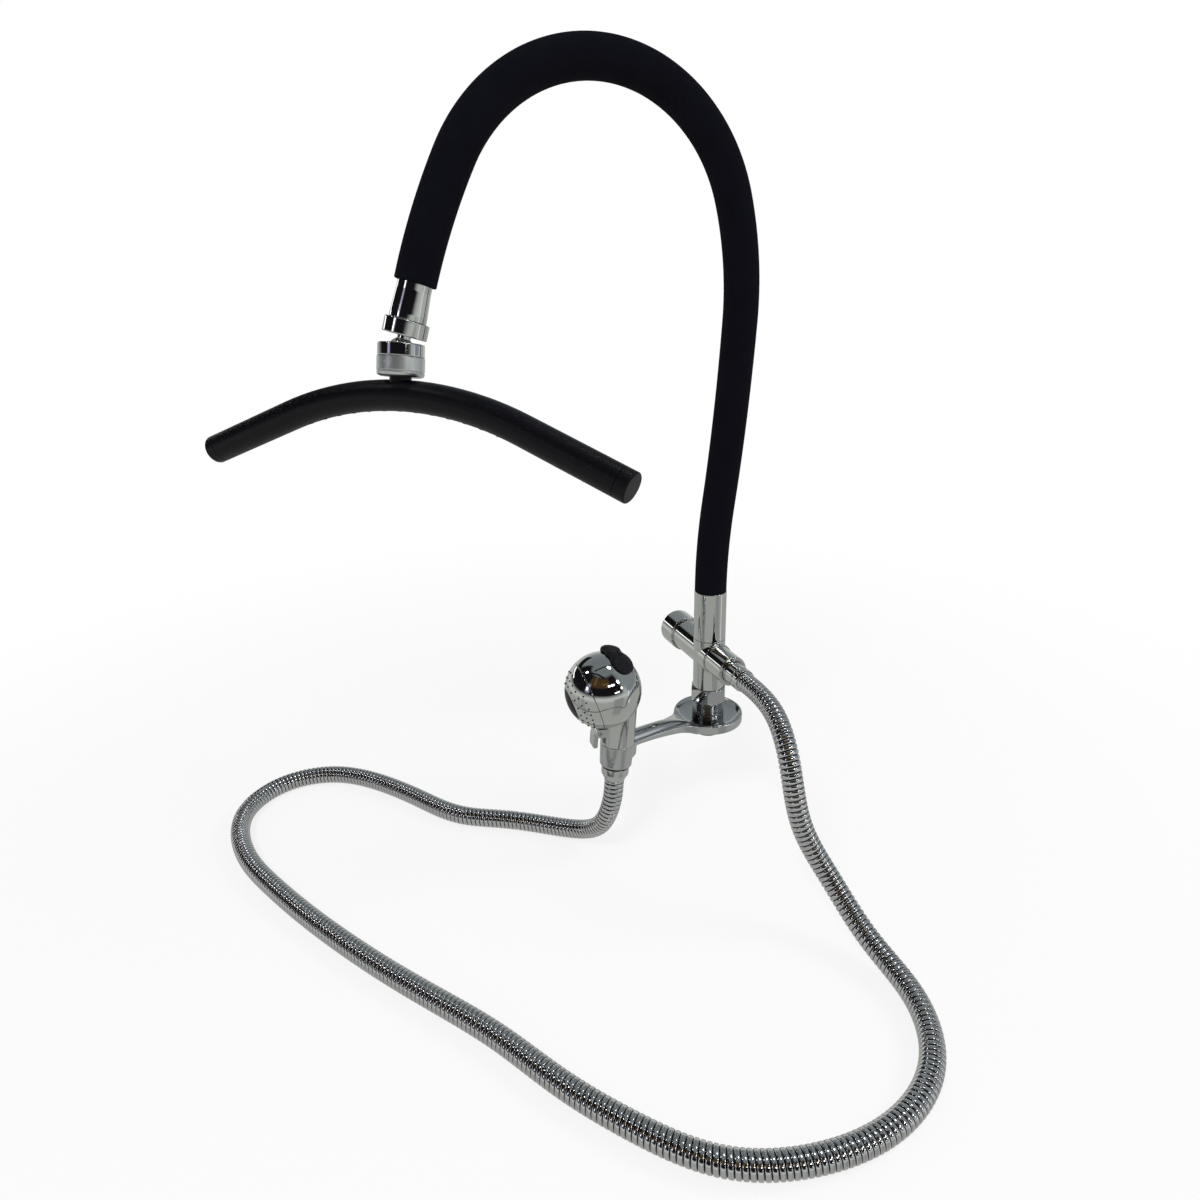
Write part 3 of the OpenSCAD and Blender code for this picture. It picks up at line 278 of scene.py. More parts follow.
def neck_place(distance):
    """Frame on the gooseneck's centreline, +Z along it, at a distance from the sleeve's top."""
    here = turn("Z", ARCH_DIRECTION) @ shift(0, 0, SLEEVE_TOP)
    left = distance
    for length, degrees in BENDS:
        part = min(left, length)
        radius = length / math.radians(degrees)
        here = here @ shift(radius, 0, 0) @ turn("Y", degrees * part / length) @ shift(-radius, 0, 0)
        left -= part
        if left <= 0:
            return here
    return here @ shift(0, 0, left)


FITTING = neck_place(FOAM_END)
JOINT_RING = neck_place(FOAM_END + FITTING_LEN)
BALL = neck_place(FOAM_END + FITTING_LEN + JOINT_RING_H + BALL_DROP)
CUP = Matrix.Translation(BALL.translation) @ turn("Z", BAR_HEADING) @ turn("X", -BAR_LEAN)

# ---- mesh tools


def in_scene(name, data):
    """An object in the scene with a mesh, a lamp or a camera."""
    made = bpy.data.objects.new(name, data)
    bpy.context.scene.collection.objects.link(made)
    return made


def new_object(name, points, faces):
    mesh = bpy.data.meshes.new(name)
    mesh.from_pydata([tuple(p) for p in points], [], faces)
    return in_scene(name, mesh)


def make_piece(name, points, faces, finish, body, *nodes):
    """A smooth mesh that rides on a body, if one is named, and stands for the CAD nodes named."""
    piece = new_object(name, points, faces)
    piece.data.validate()
    piece.data.shade_smooth()
    piece.data.materials.append(finish)
    if body:
        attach(piece, body)
    if nodes:
        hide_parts(*nodes)
    return piece


def eased(outline, radius, closed):
    """Rounds the corners of a (radius, height) outline, with a support point on each side."""
    most, support, steps = 0.38, 0.25, 5
    points = [Vector(p) for p in outline]
    result = []
    for i, corner in enumerate(points):
        if not closed and i in (0, len(points) - 1):
            result.append(corner)
            continue
        before, after = points[i - 1], points[(i + 1) % len(points)]
        back, ahead = before - corner, after - corner
        cut = min(radius, most * back.length, most * ahead.length)
        start, end = corner + cut * back.normalized(), corner + cut * ahead.normalized()
        result.append(start + support * cut * back.normalized())
        for step in range(steps + 1):
            t = step / steps
            result.append((1 - t) ** 2 * start + 2 * t * (1 - t) * corner + t ** 2 * end)
        result.append(end + support * cut * ahead.normalized())
    return result


def lathe(outline, place, edge, around=96):
    """Points and faces of an outline taken round the place's Z axis; it may end on the axis."""
    closed = outline[0][0] > 0
    points, rows = [], []
    for radius, height in eased(outline, edge, closed):
        rows.append((len(points), radius > 0))
        for k in range(around if radius > 0 else 1):
            angle = 2 * math.pi * k / around
            points.append(place @ Vector((radius * math.cos(angle), radius * math.sin(angle), height)))
    faces = []
    for i in range(len(rows) - (not closed)):
        (low, low_ring), (high, high_ring) = rows[i], rows[(i + 1) % len(rows)]
        for k in range(around):
            n = (k + 1) % around
            face = [low + k, low + n] if low_ring else [low]
            faces.append(face + ([high + n, high + k] if high_ring else [high]))
    return points, faces


def turned(name, outline, place, finish, body, *nodes, edge=0.0004):
    """A piece turned on a lathe round the place's Z axis."""
    return make_piece(name, *lathe(outline, place, edge), finish, body, *nodes)


def ring_outline(outer, inner, low, high):
    return [(outer, low), (outer, high), (inner, high), (inner, low)]


def settled(piece):
    """Makes the piece's modifiers part of its mesh."""
    view = bpy.context.evaluated_depsgraph_get()
    mesh = bpy.data.meshes.new_from_object(piece.evaluated_get(view))
    piece.modifiers.clear()
    piece.data = mesh
    mesh.shade_smooth()


def cut_away(piece, outline, place, around=96):
    """Takes a turned shape out of a piece."""
    cutter = new_object("cutter", *lathe(outline, place, 0.0001, around))
    hole = piece.modifiers.new("hole", "BOOLEAN")
    hole.operation, hole.solver, hole.object = "DIFFERENCE", "EXACT", cutter
    settled(piece)
    bpy.data.objects.remove(cutter)


def hull(points):
    """The convex shell of some points."""
    part = new_object("rough", points, [])
    shell = bmesh.new()
    shell.from_mesh(part.data)
    bmesh.ops.convex_hull(shell, input=shell.verts)
    shell.to_mesh(part.data)
    shell.free()
    return part


def cast_whole(name, parts, cell, passes, finish, body, *nodes):
    """One casting of overlapping shells: remeshed together in small cells, then relaxed."""
    points, faces = [], []
    for part in parts:
        first = len(points)
        points += [part.matrix_world @ v.co for v in part.data.vertices]
        faces += [tuple(first + i for i in face.vertices) for face in part.data.polygons]
        bpy.data.objects.remove(part)
    piece = make_piece(name, points, faces, finish, body, *nodes)
    cells = piece.modifiers.new("cells", "REMESH")
    cells.mode, cells.voxel_size = "VOXEL", cell
    relax = piece.modifiers.new("relax", "SMOOTH")
    relax.factor, relax.iterations = 0.5, passes
    settled(piece)


# ---- lines that pieces follow


class Line:
    """A curve in space with a side direction carried along it without twist."""

    def __init__(self, points):
        self.points = np.array(points, float)
        steps = np.diff(self.points, axis=0)
        self.sums = np.concatenate([[0], np.cumsum(np.linalg.norm(steps, axis=1))])
        self.length = float(self.sums[-1])
        ways = np.gradient(self.points, self.sums, axis=0)
        self.ways = ways / np.linalg.norm(ways, axis=1)[:, None]
        side = np.cross(self.ways[0], (0.3, 0.2, 1.0))
        sides = []
        for way in self.ways:
            side = side - side.dot(way) * way
            side /= np.linalg.norm(side)
            sides.append(side)
        self.sides = np.array(sides)

    def at(self, distance):
        """Point, side and cross side at a distance along the line."""
        distance = min(max(distance, 0), self.length)
        point, way, side = (
            np.array([np.interp(distance, self.sums, column) for column in values.T])
            for values in (self.points, self.ways, self.sides)
        )
        side = side - side.dot(way) * way
        side /= np.linalg.norm(side)
        return point, side, np.cross(way, side)


def hose_points():
    """The hose's curve: a uniform cubic B-spline, straight out of both its ends."""
    start = np.array((0, -FERRULE_TO, CROSS_Z))
    axis = np.array(HANDSET.to_3x3().col[2])
    end = np.array(HANDSET @ Vector((0, 0, CONE_BOTTOM)))
    control = [start + (0, -k * HOSE_STRAIGHT, 0) for k in (-1, 0, 1, 2)]
    control += [MM * np.array(p, float) for p in HOSE_ROUTE]
    control += [end - k * HOSE_STRAIGHT * axis for k in (2, 1, 0, -1)]
    fine = 40
    points = []
    for i in range(len(control) - 3):
        a, b, c, d = control[i:i + 4]
        for k in range(fine + (i == len(control) - 4)):
            t = k / fine
            points.append((
                (1 - t) ** 3 * a + (3 * t ** 3 - 6 * t ** 2 + 4) * b
                + (-3 * t ** 3 + 3 * t ** 2 + 3 * t + 1) * c + t ** 3 * d
            ) / 6)
    return points


def ring_on(line, distance, radius, around):
    point, side, across = line.at(distance)
    angles = 2 * np.pi * np.arange(around) / around
    return point + radius * (np.cos(angles)[:, None] * side + np.sin(angles)[:, None] * across)


def band(first, second, around):
    """Quads between two rings of points."""
    return [
        (first + k, first + (k + 1) % around, second + (k + 1) % around, second + k)
        for k in range(around)
    ]


def swept(line, stations, around, first=0, closed=True):
    """Points and faces of a tube round a line: its section is given as (distance, radius) stations."""
    points, faces = [], []
    for distance, radius in stations:
        points.extend(ring_on(line, distance, radius, around))
    count = len(stations)
    for i in range(count if closed else count - 1):
        faces += band(first + i * around, first + (i + 1) % count * around, around)
    return points, faces


def wound(line, start, end, pitch, profile, around):
    """Points and faces of a skin wound round a line: profile is (part of a pitch, radius)."""
    rows = len(profile)
    floor = min(radius for _, radius in profile)
    columns = int((end - start) / pitch * around) + around
    points, faces = [], []
    for c in range(columns):
        for part, radius in profile:
            distance = min(max(start + (c / around - 1 + part) * pitch, start), end)
            point, side, across = line.at(distance)
            angle = 2 * math.pi * c / around
            # the ribs rise from the floor at each end
            radius = min(radius, floor + min(distance - start, end - distance))
            points.append(point + radius * (math.cos(angle) * side + math.sin(angle) * across))
    for c in range(columns - 1):
        for i in range(rows):
            if i + 1 < rows:
                faces.append((c * rows + i, (c + 1) * rows + i, (c + 1) * rows + i + 1, c * rows + i + 1))
            elif c + 1 + around < columns:
                faces.append((c * rows + i, (c + 1) * rows + i, (c + 1 + around) * rows, (c + around) * rows))
    return points, faces


# ---- material tools


def linear(code):
    """sRGB hex to a linear colour."""
    values = [int(code[i:i + 2], 16) / 255 for i in (1, 3, 5)]
    return tuple(v / 12.92 if v <= 0.04045 else ((v + 0.055) / 1.055) ** 2.4 for v in values) + (1,)


def add(tree, kind, inputs=None, **settings):
    """Adds a node. settings are its own values; inputs are its sockets' values, or sockets that feed them."""
    node = tree.nodes.new(kind)
    for name, value in settings.items():
        setattr(node, name, value)
    for name, value in (inputs or {}).items():
        if isinstance(value, bpy.types.NodeSocket):
            tree.links.new(value, node.inputs[name])
        else:
            node.inputs[name].default_value = value
    return node


def empty_tree(owner):
    """The node tree of a material or the world, cleared."""
    owner.use_nodes = True
    owner.node_tree.nodes.clear()
    return owner.node_tree


def new_finish(name, **shader):
    """A material with its Principled shader's own values set, and its object coordinates."""
    finish = bpy.data.materials.new(name)
    tree = empty_tree(finish)
    surface = add(tree, "ShaderNodeBsdfPrincipled", {
        key.replace("_", " "): value for key, value in shader.items()
    })
    add(tree, "ShaderNodeOutputMaterial", {"Surface": surface.outputs["BSDF"]})
    place = add(tree, "ShaderNodeTexCoord").outputs["Object"]
    return finish, tree, surface, place


def vary(tree, surface, place, socket, low, high, grain, detail=2.0):
    """Noise of a grain size in metres that moves a socket between two values, over its usual range."""
    cloud = add(tree, "ShaderNodeTexNoise", {"Vector": place, "Scale": 1 / grain, "Detail": detail})
    spread = add(tree, "ShaderNodeMapRange", {
        "Value": cloud.outputs["Fac"], "From Min": 0.3, "From Max": 0.7, "To Min": low, "To Max": high,
    })
    tree.links.new(spread.outputs["Result"], surface.inputs[socket])


def emboss(tree, surface, height, depth, strength=1.0, edge=0.0):
    """Bump of a real depth in metres, over edges softened to a radius."""
    bump = add(tree, "ShaderNodeBump", {"Height": height, "Distance": depth, "Strength": strength})
    if edge:
        soft = add(tree, "ShaderNodeBevel", {"Radius": edge}, samples=4)
        tree.links.new(soft.outputs["Normal"], bump.inputs["Normal"])
    tree.links.new(bump.outputs["Normal"], surface.inputs["Normal"])


# ---- finishes


def polished_chrome(name, colour="#D2D4D3", rough=0.035, edge=0.0):
    # Nickel-chrome plating over polished brass: a sharp mirror, with a faint waviness from
    # the buffing wheel and a thin film of fingerprints that dulls it in places
    finish, tree, surface, place = new_finish(name, Base_Color=linear(colour), Metallic=1.0)
    vary(tree, surface, place, "Roughness", rough, rough + 0.05, 0.012, 4)
    wave = add(tree, "ShaderNodeTexNoise", {"Vector": place, "Scale": 1 / 0.008, "Detail": 1.0})
    emboss(tree, surface, wave.outputs["Fac"], 0.00003, 1.0, edge)
    return finish


def strip_wound_chrome():
    # Chromed strip wound into a hose: polished bands, with painted shade that darkens the grooves between
    # them
    finish = polished_chrome("strip_wound_chrome", rough=0.07)
    tree = finish.node_tree
    surface = next(node for node in tree.nodes if node.type == "BSDF_PRINCIPLED")
    height = add(tree, "ShaderNodeAttribute", attribute_name="rib_height")
    share = add(tree, "ShaderNodeMapRange", {
        "Value": height.outputs["Fac"], "From Min": 0.15, "From Max": 0.65,
    })
    # painted shade: the base colour runs from near black on the groove floor to bright chrome on the bands
    shade = add(tree, "ShaderNodeMix", {
        "Factor": share.outputs["Result"], 6: linear("#242527"), 7: linear("#D6D7D9"),
    }, data_type="RGBA")
    tree.links.new(shade.outputs[2], surface.inputs["Base Color"])
    return finish


def cast_chrome():
    # Chrome on a zinc casting: softer edges and slightly duller than turned brass
    finish, tree, surface, place = new_finish("cast_zinc_chrome", Base_Color=linear("#C9CCCD"), Metallic=1.0)
    vary(tree, surface, place, "Roughness", 0.10, 0.18, 0.010, 4)
    skin = add(tree, "ShaderNodeTexNoise", {"Vector": place, "Scale": 1 / 0.006, "Detail": 2.0})
    emboss(tree, surface, skin.outputs["Fac"], 0.00006, 1.0, 0.0008)
    return finish


def satin_aluminium():
    # Bead-blasted and clear-anodised aluminium: an even grey with a broad soft highlight
    # and the blasting's fine grain
    finish, tree, surface, place = new_finish("satin_aluminium", Base_Color=linear("#E6EAEA"), Metallic=1.0)
    vary(tree, surface, place, "Roughness", 0.34, 0.42, 0.0009)
    blast = add(tree, "ShaderNodeTexNoise", {"Vector": place, "Scale": 1 / 0.0003, "Detail": 2.0})
    emboss(tree, surface, blast.outputs["Fac"], 0.00001)
    return finish


def closed_cell_foam():
    # Black nitrile foam sleeve: dead matt, with a fine skin of closed cells about 0.5 mm wide
    finish, tree, surface, place = new_finish(
        "closed_cell_foam", Roughness=0.95, Specular_IOR_Level=0.12, Sheen_Weight=0.04,
        Sheen_Roughness=0.5, Sheen_Tint=linear("#3A3C4C"),
    )
    tint = add(tree, "ShaderNodeTexNoise", {"Vector": place, "Scale": 1 / 0.02, "Detail": 3.0})
    shade = add(tree, "ShaderNodeMix", {
        "Factor": tint.outputs["Fac"], 6: linear("#08080F"), 7: linear("#0E0E18"),
    }, data_type="RGBA")
    tree.links.new(shade.outputs[2], surface.inputs["Base Color"])
    cells = add(tree, "ShaderNodeTexVoronoi", {"Vector": place, "Scale": 1 / 0.0005})
    emboss(tree, surface, cells.outputs["Distance"], 0.00006, 0.6)
    return finish


def satin_black():
    # Black hard-anodised or powder-coated tube: smooth, with a wide faint highlight
    finish, tree, surface, place = new_finish(
        "anodised_black_tube", Base_Color=linear("#07070D"), Specular_IOR_Level=0.24,
    )
    vary(tree, surface, place, "Roughness", 0.34, 0.42, 0.004, 3)
    coat = add(tree, "ShaderNodeTexNoise", {"Vector": place, "Scale": 1 / 0.0005, "Detail": 2.0})
    emboss(tree, surface, coat.outputs["Fac"], 0.000005, 1.0, 0.0005)
    return finish


def grained_rubber(name, grain=0.0007, depth=0.00008):
    # Moulded rubber with a spark-eroded grain: matt and slightly grey on its high points
    finish, tree, surface, place = new_finish(name, Roughness=0.62, Specular_IOR_Level=0.35)
    tint = add(tree, "ShaderNodeTexNoise", {"Vector": place, "Scale": 1 / grain, "Detail": 3.0})
    shade = add(tree, "ShaderNodeMix", {
        "Factor": tint.outputs["Fac"], 6: linear("#0B0B10"), 7: linear("#17161D"),
    }, data_type="RGBA")
    tree.links.new(shade.outputs[2], surface.inputs["Base Color"])
    emboss(tree, surface, tint.outputs["Fac"], depth, 1.0, 0.0005)
    return finish


def machined_metal(name, colour, rough):
    # Turned brass or steel that the finished set hides: fine tool marks
    finish, tree, surface, place = new_finish(name, Base_Color=linear(colour), Metallic=1.0)
    vary(tree, surface, place, "Roughness", rough, rough + 0.1, 0.002)
    marks = add(tree, "ShaderNodeTexNoise", {"Vector": place, "Scale": 1 / 0.0004, "Detail": 1.0})
    emboss(tree, surface, marks.outputs["Fac"], 0.00001)
    return finish


def smooth_liner():
    # Acetal bearing liner: milky white and slightly waxy
    finish, tree, surface, place = new_finish("acetal_liner", Base_Color=linear("#E8E8E4"))
    vary(tree, surface, place, "Roughness", 0.35, 0.45, 0.003)
    return finish


CHROME = polished_chrome("polished_chrome", edge=0.0004)
HOSE_CHROME = strip_wound_chrome()
THREAD_CHROME = polished_chrome("rolled_thread_chrome", colour="#94979A", rough=0.14)
CAST_CHROME = cast_chrome()
ALUMINIUM = satin_aluminium()
FOAM = closed_cell_foam()
GRIP = grained_rubber("grained_black_rubber")
SEAL = grained_rubber("black_seal_rubber", grain=0.0004, depth=0.00002)

FINISH_OF_SLOT = {
    "chrome": CHROME, "thread": THREAD_CHROME, "hose_chrome": HOSE_CHROME,
    "satin_aluminium": ALUMINIUM, "foam": FOAM, "black_plastic": satin_black(),
    "black_rubber": GRIP, "rubber": SEAL, "liner": smooth_liner(),
    "brass": machined_metal("machined_brass", "#C9A557", 0.28),
    "steel": machined_metal("machined_steel", "#A8A9AB", 0.30),
}

for row in frame["record"]["subparts"]:
    node = NODES[row["node"]]
    node.data.materials.clear()
    node.data.materials.append(FINISH_OF_SLOT[row["material_slot"]])

# ---- camera


def make_camera():
    down, across, roll = (math.radians(v) for v in (VIEW_DOWN, VIEW_AZIMUTH, VIEW_ROLL))
    back = Vector((
        math.sin(across) * math.cos(down), -math.cos(across) * math.cos(down), math.sin(down),
    ))
    level = Vector((math.cos(across), math.sin(across), 0))
    upright = back.cross(level)
    right = math.cos(roll) * level + math.sin(roll) * upright
    up = math.cos(roll) * upright - math.sin(roll) * level
    data = bpy.data.cameras.new("camera")
    data.lens, data.sensor_width = LENS, SENSOR
    data.clip_start, data.clip_end = 0.01, 50
    camera = in_scene("camera", data)
    camera.matrix_world = Matrix.Translation(
        FLANGE_MIDDLE - FLANGE_RIGHT * right + FLANGE_DOWN * up + FLANGE_DEPTH * back
    ) @ Matrix((right, up, back)).transposed().to_4x4()
    bpy.context.scene.camera = camera


make_camera()

# ---- hose


def make_hose_run(name, line, start, end):
    """One run of the hose between two distances along its line, closed at both ends."""
    around = 32
    floor = HOSE_R - GROOVE_DEPTH
    strip = [(0.0, floor), (GROOVE_PART, floor)] + [(part, HOSE_R - MM * dip) for part, dip in HOSE_BAND]
    points, faces = wound(line, start, end, HOSE_PITCH, strip, around)
    # the bore, closed to the skin by a flat ring at each end
    first = len(points)
    stations = np.linspace(start, end, int((end - start) / 0.003))
    rings = [(start, floor), *((distance, HOSE_BORE_R) for distance in stations), (end, floor)]
    extra, more = swept(line, rings, around, first, False)
    points += extra
    run = make_piece(name, points, faces + more, HOSE_CHROME, None)
    # how far each point stands out of the groove: the finish paints shade into the groove by it
    height = run.data.attributes.new("rib_height", "FLOAT", "POINT")
    heights = [(radius - floor) / (HOSE_R - floor) for _, radius in strip] * (first // len(strip))
    height.data.foreach_set("value", heights + [0.0] * (len(points) - first))
    return run


def make_hose():
    """The hose in two runs: one that rides on the base, and one at the handset's end that rides on no body.
    """
    line = Line(hose_points())
    split = HOSE_PITCH * round((line.length - HOSE_LIFTED) / HOSE_PITCH)
    lying = make_hose_run("ribbed_hose", line, 0, split)
    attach(lying, "base")
    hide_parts("hose")
    lifted = make_hose_run("ribbed_hose_end", line, split, line.length)
    top = Vector(line.at(line.length - HOSE_STIFF_END)[0])
    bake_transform(lifted)
    for run, start, end in ((lying, 0, split), (lifted, split, line.length)):
        stations = np.linspace(start, end, int((end - start) / 0.002))
        path = [tuple(line.at(distance)[0]) for distance in stations]


make_hose()

# ---- column and tee


def make_nipple():
    """Pipe nipple with a rolled thread on both sides of its shoulder."""
    around = 72
    line = Line([(0, 0, z) for z in np.linspace(-STUB_LEN, NIPPLE_TOP, 64)])
    root = THREAD_R - THREAD_DEPTH
    thread = ((0.0, root), (0.10, root), (0.40, THREAD_R), (0.60, THREAD_R), (0.90, root))
    points, faces = wound(line, 0, line.length, THREAD_PITCH, thread, around)
    # the bore, closed to the thread by a flat ring at each end
    rings = ((0, root), (0, NIPPLE_BORE_R), (line.length, NIPPLE_BORE_R), (line.length, root))
    extra, more = swept(line, rings, around, len(points), False)
    points, faces = points + extra, faces + more
    extra, more = lathe(ring_outline(SHOULDER_R, root, SHOULDER_FROM, SHOULDER_TO), COLUMN, 0.0004)
    faces += [tuple(len(points) + k for k in face) for face in more]
    make_piece("threaded_nipple", points + extra, faces, THREAD_CHROME, "base", "inlet_nipple")


def make_sleeve():
    """Chrome sleeve over the tee's spigot, with the hole for its grub screw."""
    seat = CORE_R + FIT
    low = SEAM_Z + 2 * FIT
    sleeve = turned("column_sleeve", [
        (COLUMN_R, low), (COLUMN_R, SLEEVE_TOP), (seat, SLEEVE_TOP), (seat, SLEEVE_STEP + SLEEVE_TAPER),
        (SLEEVE_BORE_R, SLEEVE_STEP), (SLEEVE_BORE_R, low),
    ], COLUMN, CHROME, "gooseneck", "gooseneck_sleeve", edge=0.0005)
    past = 0.002
    inside, outside = SLEEVE_BORE_R - past, COLUMN_R + past
    cut_away(sleeve, [(0, inside), (SCREW_R, inside), (SCREW_R, outside), (0, outside)],
             turn("Z", SCREW_DIRECTION) @ shift(0, 0, SCREW_Z) @ turn("Y", 90), 32)


def make_tee_pieces():
    """Knob and its cap at the back of the barrel; collar and ferrule at its front."""
    inner, deep, cap = KNOB_R - KNOB_WALL, KNOB_TO - KNOB_WALL, KNOB_TO - KNOB_CAP_H
    turned("plain_knob", [
        (KNOB_R, KNOB_FROM), (KNOB_R, KNOB_TO), (KNOB_CAP_R + FIT, KNOB_TO), (KNOB_CAP_R + FIT, cap),
        (KNOB_SCREW_HEAD_R, cap), (KNOB_SCREW_HEAD_R, deep - KNOB_SEAT), (KNOB_SCREW_R, deep - KNOB_SEAT),
        (KNOB_SCREW_R, deep - KNOB_SOCKET), (KNOB_STEM_R, deep - KNOB_SOCKET), (KNOB_STEM_R, KNOB_FROM),
        (KNOB_BOSS_R, KNOB_FROM), (KNOB_BOSS_R, deep), (inner, deep), (inner, KNOB_FROM),
    ], KNOB_AXIS, CHROME, "knob", "diverter_knob", edge=0.0008)
    turned("knob_end_cap", [(0, cap), (KNOB_CAP_R, cap), (KNOB_CAP_R, KNOB_TO), (0, KNOB_TO)],
           KNOB_AXIS, CHROME, "knob", "knob_cap")
    lip, floor = COLLAR_TO - COLLAR_LIP, COLLAR_FROM + COLLAR_FLOOR
    turned("hose_collar", [
        (COLLAR_R, COLLAR_FROM), (COLLAR_R, COLLAR_TO), (FERRULE_R + COLLAR_EASE_R, COLLAR_TO),
        (FERRULE_R + FIT, COLLAR_TO - COLLAR_EASE_H), (FERRULE_R + FIT, lip), (COLLAR_BORE_R, lip),
        (COLLAR_BORE_R, floor), (COLLAR_HOLE_R, floor), (COLLAR_HOLE_R, COLLAR_FROM),
    ], OUTLET_AXIS, CHROME, "base", "outlet_collar", edge=0.0008)
    head = FERRULE_FROM + FERRULE_HEAD_H
    turned("crimped_ferrule", [
        (FERRULE_HEAD_R, FERRULE_FROM), (FERRULE_HEAD_R, head), (FERRULE_R, head),
        *((FERRULE_R - depth, FERRULE_TO - back) for depth, back in FERRULE_CRIMP),
        (FERRULE_R, FERRULE_TO - FERRULE_TAPER), (HOSE_R, FERRULE_TO), (HOSE_BORE_R, FERRULE_TO),
        (HOSE_BORE_R, FERRULE_FROM),
    ], OUTLET_AXIS, CHROME, "base", "hose_ferrule", edge=0.0003)


make_nipple()
make_sleeve()
make_tee_pieces()

# ---- bracket and handset


def climbed(x, start, base, rise, over, slope):
    """A height in mm along the arm that rises quickly from its start, and then steadily."""
    past = max(x - start, 0)
    return base + rise * (1 - math.exp(-past / over)) + slope * past


def arm_section(x):
    """Half of the arm's section at a distance in mm from the column: (sideways, height), bottom first."""
    if x < FLARE_END:
        half = FLARE_MIDDLE - math.sqrt(FLARE_R ** 2 - (FLARE_END - x) ** 2)
    else:
        half = WAIST_HALF + WAIST_SPREAD * ((x - WAIST_AT) / WAIST_REACH) ** 2
    low, edge, spine = (climbed(x, *row) for row in (ARM_UNDERSIDE, ARM_LEDGE_TOP, ARM_SPINE))
    ledge = half - ARM_LEDGE
    foot = min(SPINE_HALF, ledge - ARM_LEDGE_LEAST)
    section = [(0, low)]
    section += [(half + side, low + up) for side, up in ARM_LOW_CORNER]
    section += [(half + side, edge + up) for side, up in ARM_HIGH_CORNER]
    for t in (0, 0.25, 0.5, 0.75, 1.0):
        section.append((ledge + (foot - ledge) * t, edge + SPINE_FOOT * spine * t ** 2))
    for degrees in (15, 32, 50, 70, 90):
        angle = math.radians(degrees)
        up = SPINE_FOOT + (1 - SPINE_FOOT) * math.sin(angle)
        section.append((foot * math.cos(angle), edge + spine * up))
    return section


def make_arm():
    """The arm's shell: waisted, with a ledge along each side of an arched spine."""
    stations = np.linspace(ARM_FROM, ARM_TO, 60)
    points, faces = [], []
    for x in stations:
        half = arm_section(x / MM)
        whole = half + [(-side, height) for side, height in half[-2:0:-1]]
        points += [ARM @ Vector((x, MM * side, MM * height)) for side, height in whole]
    count = len(whole)
    for i in range(len(stations) - 1):
        faces += band(i * count, (i + 1) * count, count)
    faces += [tuple(range(count))[::-1], tuple(range(len(points) - count, len(points)))]
    return new_object("rough", points, faces)


def make_bracket():
    """Dished flange, arm and handset ring in one casting."""
    flange = new_object("rough", *lathe([
        (GASKET_R, GASKET_H), (GASKET_R, 0), (FLANGE_R, 0), (FLANGE_R, FLANGE_H - FLANGE_LIP),
        *((MM * radius, MM * height) for radius, height in FLANGE_BOWL),
        (FLANGE_BORE_R, FLANGE_FLOOR), (FLANGE_BORE_R, GASKET_H),
    ], COLUMN, 0.0003))
    ring = new_object("rough", *lathe([
        (RING_BOTTOM_R, RING_BOTTOM), (RING_TOP_R, RING_TOP), (RING_BORE_R, RING_TOP),
        (RING_BORE_R, RING_BOTTOM),
    ], HANDSET, 0.0008))
    arm = make_arm()
    cut_away(arm, BOWL_CUT, COLUMN)
    boss = hull([
        RING @ Vector((middle + radius * math.cos(angle), radius * math.sin(angle), z))
        for middle in BOSS_MIDDLES for radius, z in BOSS_DISCS
        for angle in np.linspace(0, 2 * math.pi, 32, endpoint=False)
    ])
    for part in (arm, boss):
        cut_away(part, RING_CUT, HANDSET)
    cast_whole("cast_bracket", [flange, ring, arm, boss], BRACKET_CELL, BRACKET_PASSES,
               CAST_CHROME, "base", "holder_bracket")


def lobed_edge(lobes, middle, heading):
    """Reach in degrees of an outline of blended lobes from its middle in a heading."""
    near, far = 0.0, 60.0
    for _ in range(24):
        reach = (near + far) / 2
        place = middle + reach * Vector((math.cos(heading), math.sin(heading)))
        gap = 90
        for across, along, radius in lobes:
            other = (place - Vector((across, along))).length - radius
            blend = max(LOBE_BLEND - abs(gap - other), 0) ** 2 / (4 * LOBE_BLEND)
            gap = min(gap, other) - blend
        near, far = (reach, far) if gap < 0 else (near, reach)
    return near


def on_ball(name, lobes, middle, base, edge, dome, finish, *nodes):
    """A pad that hugs the ball: its outline is of lobes, and its skin rises from the edge by dome()."""
    around, middle = 96, Vector(middle)
    headings = [2 * math.pi * k / around for k in range(around)]
    reaches = [lobed_edge(lobes, middle, heading) for heading in headings]

    def place(k, part, outer):
        step = part * reaches[k] * Vector((math.cos(headings[k]), math.sin(headings[k])))
        across, along = (math.radians(v) for v in middle + step)
        way = Vector((
            math.sin(across) * math.cos(along), math.sin(along), math.cos(across) * math.cos(along),
        ))
        return SLIDER @ (way * (base + (edge + dome(part, along) if outer else 0)))

    points = [place(0, 0, True)]
    faces = [(0, 1 + k, 1 + (k + 1) % around) for k in range(around)]
    rows = [(part, True) for part in PAD_ROWS] + [(part, False) for part in PAD_ROWS[::-1]]
    for part, outer in rows:
        points += [place(k, part, outer) for k in range(around)]
    for i in range(len(rows) - 1):
        faces += band(1 + i * around, 1 + (i + 1) * around, around)
    points.append(place(0, 0, False))
    last = len(points) - 1
    faces += [(last, last - around + (k + 1) % around, last - around + k) for k in range(around)]
    make_piece(name, points, faces, finish, "slider", *nodes)


def pad_dome(part, along):
    """Height of the slider's pad over its edge, from its middle out and along the ball."""
    far = min(max((FAR_FROM - along) / FAR_CLIMB, 0), 1)
    valley = 1 - VALLEY_SHARE * math.exp(-((along - VALLEY_AT) / VALLEY_HALF) ** 2)
    return math.sqrt(max(1 - part ** 5, 0)) * (PAD_H + PAD_FAR_H * far) * valley


